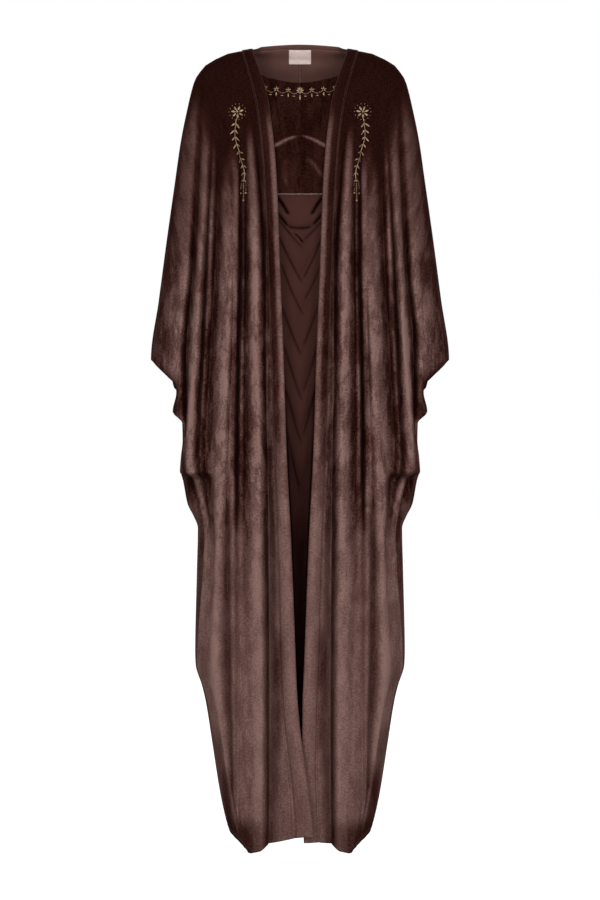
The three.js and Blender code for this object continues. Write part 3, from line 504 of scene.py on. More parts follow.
def shell_faces(rows, columns):
    """Faces of a closed shell between two grids of points, one after the other: the quads of each, the
    second's turned over, and a strip of quads round the rim."""
    far = rows * columns
    face = quads(rows, columns)
    index = np.arange(far).reshape(rows, columns)
    rim = np.concatenate([index[0, :-1], index[:-1, -1], index[-1, :0:-1], index[:0:-1, 0]])
    ahead = np.roll(rim, -1)
    return np.concatenate([face, face[:, ::-1] + far, np.stack([rim, ahead, ahead + far, rim + far], axis=1)])


def put_mesh(name, points, faces, materials, smooth_shading=True):
    """A mesh object at the origin from points in millimetres and a list of faces, each a list of corners."""
    mesh = bpy.data.meshes.new(name)
    mesh.from_pydata(np.asarray(points) * MM, [], faces)
    for material in materials:
        mesh.materials.append(material)
    mesh.shade_smooth() if smooth_shading else mesh.shade_flat()
    mesh.update()
    obj = bpy.data.objects.new(name, mesh)
    bpy.context.scene.collection.objects.link(obj)
    return obj


def wall(name, grid, normals, thickness, lift=0, materials=(), painted_shade=0.0, crush=1.0):
    """A closed cloth wall: the grid moved half a thickness to each side, joined round its rim.

    The first material is on the side that the normals look out from, the second on the other. The piece
    gets a UV map that follows the cloth, in metres across from the garment's middle and down, and its painted
    light and shade and how far the velvet is crushed as attributes.
    """
    rows, columns = grid.shape[:2]
    outer = grid + normals * (lift + thickness / 2)
    inner = grid + normals * (lift - thickness / 2)
    points = np.concatenate([outer.reshape(-1, 3), inner.reshape(-1, 3)])
    obj = put_mesh(name, points, shell_faces(rows, columns).tolist(), materials)
    mesh = obj.data
    if len(materials) > 1:
        slot = np.ones(len(mesh.polygons), np.int32)
        slot[: (rows - 1) * (columns - 1)] = 0
        mesh.polygons.foreach_set("material_index", slot)
    middle = np.argmin(np.abs(grid[:, :, 0]).mean(axis=0))
    width = np.cumsum(np.linalg.norm(np.diff(grid, axis=1, prepend=grid[:, :1]), axis=2), axis=1)
    width -= width[:, middle : middle + 1]
    line = grid[:, middle]
    length = np.cumsum(np.linalg.norm(np.diff(line, axis=0, prepend=line[:1]), axis=1))
    uv = np.stack([width, length[:, None] * np.ones(columns)], axis=2)
    uv = np.tile(uv.reshape(-1, 2) * MM, (2, 1))
    corners = np.empty(len(mesh.loops), np.int32)
    mesh.loops.foreach_get("vertex_index", corners)
    mesh.uv_layers.new(name="cloth").data.foreach_set("uv", uv[corners].ravel())
    # the first attribute is painted light and shade, the second how far the velvet is crushed
    for title, value in (("painted_shade", painted_shade), ("crush", crush)):
        values = np.broadcast_to(value, (rows, columns)).ravel()
        mesh.attributes.new(title, "FLOAT", "POINT").data.foreach_set("value", np.tile(values, 2))
    return obj


def finish_piece(obj, slot, *nodes):
    """Every piece rides on the one body, and may stand for CAD nodes, which it hides. slot is not used."""
    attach(obj, "root")
    if nodes:
        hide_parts(*nodes)
    return obj


# ------------------------------------------------------------------ materials
def add_node(tree, kind, inputs=None, stops=(), **settings):
    """Adds a node, sets its properties, and sets or links its inputs by name or number.

    stops are a colour ramp's (position, linear colour) pairs.
    """
    node = tree.nodes.new(kind)
    for name, value in settings.items():
        setattr(node, name, value)
    while stops and len(node.color_ramp.elements) < len(stops):
        node.color_ramp.elements.new(0.5)
    for k, (position, colour) in enumerate(stops):
        node.color_ramp.elements[k].position = position
        node.color_ramp.elements[k].color = colour
    for name, value in (inputs or {}).items():
        if isinstance(value, bpy.types.NodeSocket):
            tree.links.new(value, node.inputs[name])
        else:
            node.inputs[name].default_value = value
    return node


def new_material(name):
    """An empty node material and its tree."""
    material = bpy.data.materials.new(name)
    material.use_nodes = True
    tree = material.node_tree
    tree.nodes.clear()
    return material, tree


def cloth_noise(tree, across_mm, down_mm, detail=3.0, roughness=0.55):
    """Noise that follows the cloth's own UV map, with patches of this size across and down."""
    uv = add_node(tree, "ShaderNodeUVMap", uv_map="cloth")
    scaled = add_node(
        tree,
        "ShaderNodeMapping",
        {"Vector": uv.outputs["UV"], "Scale": (1 / (across_mm * MM), 1 / (down_mm * MM), 1)},
    )
    noise = add_node(
        tree,
        "ShaderNodeTexNoise",
        {"Vector": scaled.outputs["Vector"], "Scale": 1.0, "Detail": detail, "Roughness": roughness},
        noise_dimensions="2D",
    )
    return noise.outputs["Fac"]


def blend_values(tree, terms, offset=0.0):
    """The sum of (value, factor) terms and an offset."""
    total = offset
    for value, factor in terms:
        node = add_node(tree, "ShaderNodeMath", {0: value, 1: factor, 2: total}, operation="MULTIPLY_ADD")
        total = node.outputs["Value"]
    return total


def pile_velvet():
    """Polyester pile velvet, lightly crushed. Velvet swallows light where it is seen end on and shines mauve
    where the pile leans; here that is painted light and shade, which with hand-sized patches and a fine cross
    ripple moves it from near black to a dusty mauve brown. Its sheen glows faintly at grazing angles."""
    look = bpy.context.scene.kaftan_look
    material, tree = new_material("pile velvet, lightly crushed")
    painted_shade = add_node(tree, "ShaderNodeAttribute", attribute_name="painted_shade", attribute_type="GEOMETRY")
    crush = add_node(tree, "ShaderNodeAttribute", attribute_name="crush", attribute_type="GEOMETRY")
    patches = add_node(
        tree,
        "ShaderNodeMapRange",  # a narrow span, eased, gives the patches clear edges
        {"Value": cloth_noise(tree, 26, 64, 6.0, 0.66), "From Min": 0.40, "From Max": 0.60},
        interpolation_type="SMOOTHSTEP",
    )
    streaks = cloth_noise(tree, 6, 34, 4.0, 0.65)
    speckle = cloth_noise(tree, 3.0, 3.4, 2.0, 0.7)  # tufts that lean each their own way, drawn larger
    ripple = cloth_noise(tree, 8.0, 2.0, 3.0, 0.65)  # the real ripple is finer: drawn so that it shows
    crushed = blend_values(
        tree, [(patches.outputs["Result"], 0.30), (streaks, 0.46), (speckle, 0.5)], -0.63
    )
    even = blend_values(tree, [(speckle, 0.30), (ripple, 0.34)], -0.32)
    marks = blend_values(tree, [(crushed, crush.outputs["Fac"])], even)
    # tone adds the painted light and shade of folds, crests and the dark top to the crushed marks; the ramp
    # runs from painted shade through the velvet's own colour to painted light and a painted highlight
    tone = blend_values(tree, [(painted_shade.outputs["Fac"], 1.0)], marks)
    colour = add_node(tree, "ShaderNodeValToRGB", {"Fac": tone}, [
        (0.0, opaque(look.velvet_shade)),
        (0.32, opaque(look.velvet_mid)),
        (0.72, opaque(look.velvet_lit)),
        (1.0, opaque(look.velvet_highlight)),
    ])
    relief = blend_values(tree, [(ripple, 1.0), (streaks, 0.5)])
    bump = add_node(tree, "ShaderNodeBump", {"Strength": 0.3, "Distance": 0.0008, "Height": relief})
    shader = add_node(tree, "ShaderNodeBsdfPrincipled", {
        "Base Color": colour.outputs["Color"],
        "Roughness": 0.85,
        "Specular IOR Level": 0.0,
        "Sheen Weight": 0.05,
        "Sheen Roughness": 0.35,
        "Sheen Tint": linear("#8a6a63"),
        "Normal": bump.outputs["Normal"],
    })
    add_node(tree, "ShaderNodeOutputMaterial", {"Surface": shader.outputs["BSDF"]})
    return material


def velvet_reverse():
    """The knitted back of the velvet: matt, even and lighter than the pile."""
    look = bpy.context.scene.kaftan_look
    material, tree = new_material("knitted velvet back")
    cloudy = cloth_noise(tree, 30, 40)
    knit = cloth_noise(tree, 1.4, 2.4, 2.0)  # drawn coarser than the real stitches
    tone = blend_values(tree, [(cloudy, 0.5), (knit, 0.3)], 0.1)
    stops = [(0.2, opaque(look.reverse_deep)), (0.8, opaque(look.reverse_lit))]
    colour = add_node(tree, "ShaderNodeValToRGB", {"Fac": tone}, stops)
    bump = add_node(tree, "ShaderNodeBump", {"Strength": 0.15, "Distance": 0.0003, "Height": knit})
    shader = add_node(tree, "ShaderNodeBsdfPrincipled", {
        "Base Color": colour.outputs["Color"],
        "Roughness": 0.9,
        "Specular IOR Level": 0.05,
        "Normal": bump.outputs["Normal"],
    })
    add_node(tree, "ShaderNodeOutputMaterial", {"Surface": shader.outputs["BSDF"]})
    return material


def heavy_crepe():
    """Heavy satin-backed crepe, dull side out: smooth and dark, with painted light on the rolls of its drapes
    and painted shade in their creases.
    """
    look = bpy.context.scene.kaftan_look
    material, tree = new_material("heavy crepe, dull side out")
    grain = cloth_noise(tree, 1.6, 1.6, 2.0)  # crepe grain, drawn coarser than it is
    clouds = cloth_noise(tree, 40, 70)
    painted_shade = add_node(tree, "ShaderNodeAttribute", attribute_name="painted_shade", attribute_type="GEOMETRY")
    # the crepe's own clouds and grain, with the painted light and shade of the skirt's folds on top
    tone = blend_values(tree, [(clouds, 0.25), (grain, 0.12), (painted_shade.outputs["Fac"], 1.0)], 0.5)
    stops = [(0.0, opaque(look.crepe_shade)), (0.75, opaque(look.crepe_lit))]
    colour = add_node(tree, "ShaderNodeValToRGB", {"Fac": tone}, stops)
    bump = add_node(tree, "ShaderNodeBump", {"Strength": 0.15, "Distance": 0.0003, "Height": grain})
    shader = add_node(tree, "ShaderNodeBsdfPrincipled", {
        "Base Color": colour.outputs["Color"],
        "Roughness": 0.55,
        "Specular IOR Level": 0.0,
        "Normal": bump.outputs["Normal"],
    })
    add_node(tree, "ShaderNodeOutputMaterial", {"Surface": shader.outputs["BSDF"]})
    return material


def satin():
    """Satin bias strip over cord: a bright, slightly streaked shine."""
    material, tree = new_material("satin bias strip")
    place = add_node(tree, "ShaderNodeTexCoord").outputs["Object"]
    noise = add_node(tree, "ShaderNodeTexNoise", {"Vector": place, "Scale": 1 / (6 * MM), "Detail": 2.0})
    stops = [(0.3, linear("#2b1c19")), (0.7, linear("#45312b"))]
    colour = add_node(tree, "ShaderNodeValToRGB", {"Fac": noise.outputs["Fac"]}, stops)
    shader = add_node(tree, "ShaderNodeBsdfPrincipled", {
        "Base Color": colour.outputs["Color"],
        "Roughness": 0.5,
        "Specular IOR Level": 0.2,
    })
    add_node(tree, "ShaderNodeOutputMaterial", {"Surface": shader.outputs["BSDF"]})
    return material


def gold_thread():
    """Antique gold metallised thread, laid in satin stitch: its strands break the shine up."""
    look = bpy.context.scene.kaftan_look
    material, tree = new_material("antique gold metallised thread")
    place = add_node(tree, "ShaderNodeTexCoord").outputs["Object"]
    noise = add_node(tree, "ShaderNodeTexNoise", {"Vector": place, "Scale": 1 / (1.2 * MM), "Detail": 3.0})
    stops = [(0.3, linear("#3d2f24")), (0.7, opaque(look.gold))]
    colour = add_node(tree, "ShaderNodeValToRGB", {"Fac": noise.outputs["Fac"]}, stops)
    bump = add_node(
        tree, "ShaderNodeBump", {"Strength": 0.5, "Distance": 0.0003, "Height": noise.outputs["Fac"]}
    )
    shader = add_node(tree, "ShaderNodeBsdfPrincipled", {
        "Base Color": colour.outputs["Color"],
        "Roughness": 0.38,
        "Metallic": 0.55,
        "Normal": bump.outputs["Normal"],
    })
    add_node(tree, "ShaderNodeOutputMaterial", {"Surface": shader.outputs["BSDF"]})
    return material


def woven_ribbon():
    """Woven polyester ribbon for a label, bare: pale, with a faint rib across."""
    material, tree = new_material("woven ribbon, bare")
    ribs = cloth_noise(tree, 12, 0.9, 2.0)
    stops = [(0.3, linear("#8a7a76")), (0.7, linear("#998985"))]
    colour = add_node(tree, "ShaderNodeValToRGB", {"Fac": ribs}, stops)
    bump = add_node(tree, "ShaderNodeBump", {"Strength": 0.2, "Distance": 0.0002, "Height": ribs})
    shader = add_node(tree, "ShaderNodeBsdfPrincipled", {
        "Base Color": colour.outputs["Color"],
        "Roughness": 0.6,
        "Normal": bump.outputs["Normal"],
    })
    add_node(tree, "ShaderNodeOutputMaterial", {"Surface": shader.outputs["BSDF"]})
    return material


def sewing_thread():
    """Matt spun polyester sewing thread, a shade lighter than the cloth."""
    material, tree = new_material("spun polyester sewing thread")
    place = add_node(tree, "ShaderNodeTexCoord").outputs["Object"]
    noise = add_node(tree, "ShaderNodeTexNoise", {"Vector": place, "Scale": 1 / (2 * MM)})
    stops = [(0.3, linear("#1c0f0d")), (0.7, linear("#3c2823"))]
    colour = add_node(tree, "ShaderNodeValToRGB", {"Fac": noise.outputs["Fac"]}, stops)
    shader = add_node(tree, "ShaderNodeBsdfPrincipled", {
        "Base Color": colour.outputs["Color"],
        "Roughness": 0.8,
        "Specular IOR Level": 0.1,
    })
    add_node(tree, "ShaderNodeOutputMaterial", {"Surface": shader.outputs["BSDF"]})
    return material


def pale_paper():
    """Matt white studio paper under the garment, lit through from below so that it shows no shadow."""
    material, tree = new_material("matt studio paper")
    place = add_node(tree, "ShaderNodeTexCoord").outputs["Object"]
    noise = add_node(tree, "ShaderNodeTexNoise", {"Vector": place, "Scale": 3.0})
    stops = [(0.0, linear("#6c6b6a")), (1.0, linear("#717170"))]
    colour = add_node(tree, "ShaderNodeValToRGB", {"Fac": noise.outputs["Fac"]}, stops)
    shader = add_node(tree, "ShaderNodeBsdfPrincipled", {
        "Base Color": colour.outputs["Color"],
        "Roughness": 0.9,
        "Specular IOR Level": 0.0,
        "Emission Color": linear("#ffffff"),
        "Emission Strength": 0.93,
    })
    add_node(tree, "ShaderNodeOutputMaterial", {"Surface": shader.outputs["BSDF"]})
    return material


made = {}  # each material is made once, when the first piece asks for it


def material_of(maker):
    """The material that a maker makes, made at its first call and kept."""
    if maker.__name__ not in made:
        made[maker.__name__] = maker()
    return made[maker.__name__]


# ------------------------------------------------------------------ robe
def levels_down(step):
    """Levels from the shoulder to the hem, about a step apart, with rows at every bend of the outline."""
    bends = np.unique(np.concatenate([OUTLINE[:, 0], CUFF_FRONT[:, 0], CUFF_BACK[:, 0], POUCH[:, 0]]))[::-1]
    parts = [
        np.linspace(a, b, max(1, round((a - b) / step)), endpoint=False)
        for a, b in zip(bends[:-1], bends[1:])
    ]
    return np.concatenate([*parts, [HEM_LEVEL]])


def across_lines(lines, parts):
    """Columns: fold lines counted from the centre, with this many parts between two of them."""
    return np.linspace(0, len(lines) - 1, (len(lines) - 1) * parts + 1)


# How much painted light each level takes, and how far the velvet is crushed there: most crushed between
# elbow and knee, and painted lightest towards the hem. The shoulders and the upper chest stay in painted
# shade down to the line in the next table.
SHADE_AND_CRUSH_LEVELS = np.array([
    # level, painted light, crush
    [0, 0.38, 0.25], [-190, 0.40, 0.40], [-300, 0.46, 0.55], [-420, 0.50, 0.75], [-560, 0.52, 0.95],
    [-760, 0.56, 0.95], [-950, 0.64, 0.70], [-1200, 0.70, 0.50], [HEM_LEVEL, 0.70, 0.50],
])
SHADED_TOP_LINE = np.array([
    # distance from the centre, level above which the painted shade lies
    [0, -110], [60, -125], [100, -165], [120, -205], [150, -205], [168, -130], [185, -75], [260, -75],
])
# the painted shade's tone on the shoulders and the upper chest
SHADED_TOP_TONE = 0.08
START_TAPER = 45  # crests catch the light this far above the cloth between them, and troughs below it
CREST_REACH = 26  # a crest is judged against the mean of the cloth this far to each side
CREST_HEIGHT, CREST_GROWTH, CREST_REGION = 1.5, 3.0, 300  # a full crest at the shoulder, and what it gains
# a painted highlight on crests, painted shade on steep flanks, and painted light on flanks that look to the
# garment's side
CREST_HIGHLIGHT, FLANK_SHADE, OUTWARD_LIGHT = 0.27, 0.30, 0.12
SHADED_TOP_EASE = 90  # how far down the painted shade of the top takes to fade into painted light
LOW = {"from": -900, "over": 250, "crest": 0.25, "flank": 0.65}  # painted crest light and flank shade tell less low down
DARK_CRUSH = 0.25  # share of the crush that is left under the top's painted shade
CRUSH_LOW = {"from": -820, "over": 160, "loss": 0.28}


def painted_shade_and_crush(grid, relief, marks, fold_shade=1.0, ease=SHADED_TOP_EASE):
    """Painted light and shade, and crush: each level's painted light, a painted highlight on crests, and
    painted shade in troughs and on steep flanks.

    A crest is the relief less its mean over its surroundings, through a hyperbolic tangent, and the share
    that follows marks is how much its painted light and shade tell. A flank is steep where the cloth looks
    away from the front or back, and one that looks to the garment's side is painted lighter than one that
    looks to its middle. marks are painted highlight lines and painted shadow pockets. All of it comes in
    over ease, below the painted shade of the top.
    """
    level, x = grid[:, :, 2], grid[:, :, 0]
    weight = np.exp(-(((x[:, :, None] - x[:, None, :]) / CREST_REACH) ** 2))
    weight = weight * np.gradient(x, axis=1)[:, None, :]
    mean = (weight * relief[:, None, :]).sum(axis=2) / weight.sum(axis=2)
    height = CREST_HEIGHT + CREST_GROWTH * smooth(-level / CREST_REGION)
    looks = normals_of(grid)
    start = np.interp(x, SHADED_TOP_LINE[:, 0], SHADED_TOP_LINE[:, 1])
    crest = np.tanh((relief - mean) / height)
    lit = smooth((start - level + START_TAPER * crest) / ease)
    low = smooth((LOW["from"] - level) / LOW["over"])
    own = SHADED_TOP_TONE + (column(SHADE_AND_CRUSH_LEVELS, 1, level) - SHADED_TOP_TONE) * lit
    painted_shade = own + lit * (1 - LOW["crest"] * low) * (
        fold_shade * CREST_HIGHLIGHT * crest
        - (1 - LOW["flank"] * low) * FLANK_SHADE * (1 - np.abs(looks[:, :, 1]))
        + OUTWARD_LIGHT * looks[:, :, 0]
    )
    painted_shade += creased(x, level, marks) * lit
    crush = column(SHADE_AND_CRUSH_LEVELS, 2, level) * (DARK_CRUSH + (1 - DARK_CRUSH) * lit)
    return painted_shade, crush * (1 - CRUSH_LOW["loss"] * smooth((CRUSH_LOW["from"] - level) / CRUSH_LOW["over"]))


def build_panels():
    """All four robe panels as (grid in millimetres, normals, painted light and shade, crush), by node name.
    """
    levels = levels_down(ROW_STEP)
    over, over_relief = robe_grid(PANELS["front_over"], across_lines(FRONT_LINES, PARTS), levels)
    under, under_relief = robe_grid(PANELS["front_under"], across_lines(FRONT_LINES, PARTS), levels)
    back, back_relief = robe_grid(PANELS["back"], across_lines(BACK_LINES, BACK_PARTS), levels)
    neck = back[0, :, 1] > SEAM_GAP
    # painted light and shade, and crush, for each panel; the right-hand panels take them turned round
    under_shade_and_crush = painted_shade_and_crush(under, under_relief, FRONT_PAINTED_LIGHT)
    over_shade_and_crush = painted_shade_and_crush(over, over_relief, FRONT_PAINTED_LIGHT)
    back_shade_and_crush = painted_shade_and_crush(back, back_relief, BACK_PAINTED_LIGHT, BACK_FOLD_SHADE, BACK_TOP_SHADE_EASE)
    right_front, right_back = mirrored(over), mirrored(back)
    shoulder = slice(None)
    return {
        "front_left": (under, normals_of(under, last=1, top=shoulder), *under_shade_and_crush),
        "back_left": (back, normals_of(back, first=0, last=1, top=~neck), *back_shade_and_crush),
        "front_right": (
            right_front,
            normals_of(right_front, first=1, top=shoulder),
            *(pile[:, ::-1] for pile in over_shade_and_crush),
        ),
        "back_right": (
            right_back,
            normals_of(right_back, first=1, last=0, top=~neck[::-1]),
            *(pile[:, ::-1] for pile in back_shade_and_crush),
        ),
    }


cloth = {}  # the panels' grids, kept for what is laid on them


class KAFTAN_OT_robe(bpy.types.Operator):
    """Build the two fronts and the two backs of the robe, with the sleeves cut in one"""

    bl_idname = "kaftan.robe"
    bl_label = "Robe panels"

    def execute(self, context):
        cloth.update(build_panels())
        sides = [material_of(pile_velvet), material_of(velvet_reverse)]
        for name, (grid, normals, painted_shade, crush) in cloth.items():
            skins = sides if name.startswith("front") else sides[::-1]
            obj = wall(f"{name}_cloth", grid, normals, VELVET, 0, skins, painted_shade, crush)
            finish_piece(obj, "velvet", name)
        return {"FINISHED"}


# ------------------------------------------------------------------ bands
BAND_LINES = 2  # a band is as wide as this many fold lines
PLEAT_LINE = 3  # the deep pleat's place among the fold lines
ON_VELVET = VELVET / 2 + SEAM_GAP + BAND_CLOTH / 2  # from a front's middle to the band's

# The band's painted light and shade across it: its rolled edge is painted lit, and its flat half lies in the
# fold's painted shade.
BAND_SHADE = ([0, 0.06, 0.3, 0.52, 0.62, 0.9, 0.96, 1], [0.40, 0.66, 0.80, 0.66, 0.20, 0.14, 0.40, 0.50])
# How much of that is lost upwards over the chest, and downwards from the hip.
BAND_CHEST = {"from": -190, "over": 90, "loss": 0.92}
BAND_LOW = {"from": -560, "over": 330, "loss": 0.9}
BAND_CRUSH = 0.6  # share of the front's crush
NECK_BAND_ROWS = 5
# the back neck band is painted in shade all over
NECK_BAND_SHADE = 0.05


def front_strip(name, first_line, last_line):
    """The columns of a front between two of its fold lines, counted from the opening edge."""
    if name == "front_left":
        cut = slice(first_line * PARTS, last_line * PARTS + 1)
    else:
        last = cloth[name][0].shape[1] - 1
        cut = slice(last - last_line * PARTS, last + 1 - first_line * PARTS)
    return [values[:, cut] for values in cloth[name]]


class KAFTAN_OT_bands(bpy.types.Operator):
    """Lay a band down each opening edge and stand one round the back neck"""

    bl_idname = "kaftan.bands"
    bl_label = "Front and neck bands"

    def execute(self, context):
        sides = [material_of(pile_velvet), material_of(velvet_reverse)]
        for side in ("left", "right"):
            grid, normals, painted_shade, crush = front_strip(f"front_{side}", 0, BAND_LINES)
            ends = (0, 1) if side == "left" else (1, 0)
            across = np.linspace(*ends, grid.shape[1])
            level = grid[:, :, 2]
            low = BAND_LOW["loss"] * smooth((BAND_LOW["from"] - level) / BAND_LOW["over"])
            chest = BAND_CHEST["loss"] * smooth((level - BAND_CHEST["from"]) / BAND_CHEST["over"])
            painted_shade = painted_shade + (np.interp(across, *BAND_SHADE) - painted_shade) * np.clip(1 - low - chest, 0, 1)
            crush = crush * BAND_CRUSH
            obj = wall(f"front_band_{side}_cloth", grid, normals, BAND_CLOTH, ON_VELVET, sides, painted_shade, crush)
            finish_piece(obj, "velvet_band", f"front_band_{side}")
        obj = self.neck_band(sides)
        finish_piece(obj, "velvet_band", "back_neck_band")
        return {"FINISHED"}

    def neck_band(self, sides):
        """A strip in line with the back panels, from their neck edge up, ending at the neck corners."""
        feet, ups, outs = [], [], []
        for name in ("back_right", "back_left"):
            grid, normals = cloth[name][:2]
            on_neck = grid[0, :, 1] > SEAM_GAP
            rise = grid[0, on_neck] - grid[1, on_neck]
            feet.append(grid[0, on_neck])
            ups.append(rise / np.linalg.norm(rise, axis=1, keepdims=True))
            outs.append(normals[0, on_neck])
        feet, ups, outs = (np.concatenate(part) for part in (feet, ups, outs))
        corner = np.array([NECK_HALF, SEAM_GAP + VELVET / 2, SEAM_GAP], float)
        feet = np.concatenate([[corner * [-1, 1, 1]], feet, [corner]])
        ups, outs = (np.concatenate([a[:1], a, a[-1:]]) for a in (ups, outs))
        heights = np.linspace(NECK_BAND_HEIGHT, 0, NECK_BAND_ROWS) + SEAM_SLIT
        grid = feet + ups * heights[:, None, None]
        normals = np.broadcast_to(outs, grid.shape)
        return wall("back_neck_band_cloth", grid, normals, VELVET, 0, sides[::-1], NECK_BAND_SHADE)


# ------------------------------------------------------------------ insert
def cover_depth(x, z):
    """Depth of the front that covers a point, or of its edge where the point lies in the opening."""
    places = [through(LEVELS, line[1], z) for line in FRONT_LINES[: PLEAT_LINE + 2]]
    reliefs = [through(LEVELS, line[2], z) for line in FRONT_LINES[: PLEAT_LINE + 2]]
    at = np.maximum(np.abs(x), places[0] + EDGE_INSET)
    relief = reliefs[-1]
    for k in range(PLEAT_LINE, -1, -1):
        share = smooth((at - places[k]) / (places[k + 1] - places[k]))
        relief = np.where(at < places[k + 1], reliefs[k] + (reliefs[k + 1] - reliefs[k]) * share, relief)
    return form_depth(at, z, -1) - relief


def clear_depth(x, z, distance):
    """How far back a point has to lie to be this far, measured square, behind the front's inside.

    The distance is lengthened by the root of one plus the squares of the front's slopes there.
    """
    lean = (cover_depth(x + SLOPE_STEP, z) - cover_depth(x - SLOPE_STEP, z)) / (2 * SLOPE_STEP)
    fall = (cover_depth(x, z + SLOPE_STEP) - cover_depth(x, z - SLOPE_STEP)) / (2 * SLOPE_STEP)
    longer = np.minimum(np.sqrt(1 + lean**2 + fall**2), STEEPEST)
    edge = through(LEVELS, FRONT_LINES[0][1], z)
    away = smooth((edge - EDGE_REACH - np.abs(x)) / EDGE_EASE)
    return cover_depth(x, z) + (VELVET / 2 + distance) * longer - away * FREE_DEPTH


def seat(name, z, thickness):
    """Where the insert is sewn behind a front: the inside of its deep pleat, at each height."""
    grid, normals = cloth[name][:2]
    k = PLEAT_LINE * PARTS if name == "front_left" else grid.shape[1] - 1 - PLEAT_LINE * PARTS
    line = grid[:, k] - normals[:, k] * (VELVET / 2 + SEAM_GAP + thickness / 2)
    falls = -line[:, 2]
    return np.interp(-z, falls, line[:, 0]), np.interp(-z, falls, line[:, 1])


def insert_points(share, z, out, thickness):
    """Points of the insert, from the right seat at share -1 to the left one at +1.

    Depth runs from the seats' to the centre's, less the cloth's own relief and a soft bust, and stays
    behind the fronts wherever they cover it.
    """
    right_x, right_y = seat("front_right", z, thickness)
    left_x, left_y = seat("front_left", z, thickness)
    half = (1 + share) / 2
    x = right_x + (left_x - right_x) * half
    edge = right_y + (left_y - right_y) * half
    inward = 1 - np.abs(share) ** INSERT_FULLNESS
    bust = np.hypot((np.abs(x) - BUST["x"]) / BUST["across"], (z - BUST["level"]) / BUST["down"])
    y = edge + (column(INSERT_CENTRE, 1, z) - edge) * inward
    y = y - inward * (out + BUST["rise"] * np.exp(-(bust**2)))
    y = np.where(np.abs(share) < 1, np.maximum(y, clear_depth(x, z, thickness / 2 + TUCK)), y)
    return np.stack([x, y, z], axis=2)


INSERT_COLUMNS = 124
BODICE_ROWS = 120
BODICE_HALF = 95  # half the bodice's and the skirt's width, as their tables of creases count it
SKIRT_HALF = 75
BODICE_FADING, SKIRT_FADING = 5, 7  # a crease fades in over one part in this many of its length
FOLD_PARTS = 14  # rows between two lines of the skirt's folds
ROLL_BREADTH = 0.5  # power that widens a roll of the skirt and tightens the crease under it
SKIRT_RELIEF = 0.35  # share of the table's height that the skirt's folds keep

# The bodice's painted light and shade: its own level of it, what a ridge adds as a painted highlight, the
# deepest trough that counts as painted shade, the painted light it gains lower down from a level over a
# distance, and its crush.
BODICE_SHADE = {"own": 0.09, "ridge": 0.22, "least": -0.4, "low": 0.08, "from": -180, "over": 60, "crush": 0.35}
# A painted shadow line across the skirt below the cowl, drawn in its painted shade alone: its level at the
# centre, how it climbs with the square of the distance, its half width, how dark it is, and the shares of
# the skirt's half width where it ends and over which it fades.
COWL_SHADOW = {"level": -345, "climb": 0.003, "width": 2.6, "depth": 1.1, "end": 0.36, "fade": 0.1}
# The skirt's painted light and shade: what a crease and a fold give for each millimetre out, the highest
# crease that counts, how much painted shade it takes lower down, and how much painted shadow beside the
# robe's edges.
SKIRT_SHADE = {"crease": 0.25, "most": 0.8, "fold": 0.012}
SKIRT_LOW_SHADE = {"loss": 0.55, "from": -560, "over": 500}
SKIRT_EDGE_SHADOW = {"loss": 0.6, "at": 0.72, "across": 0.3, "from": -480, "over": 260}


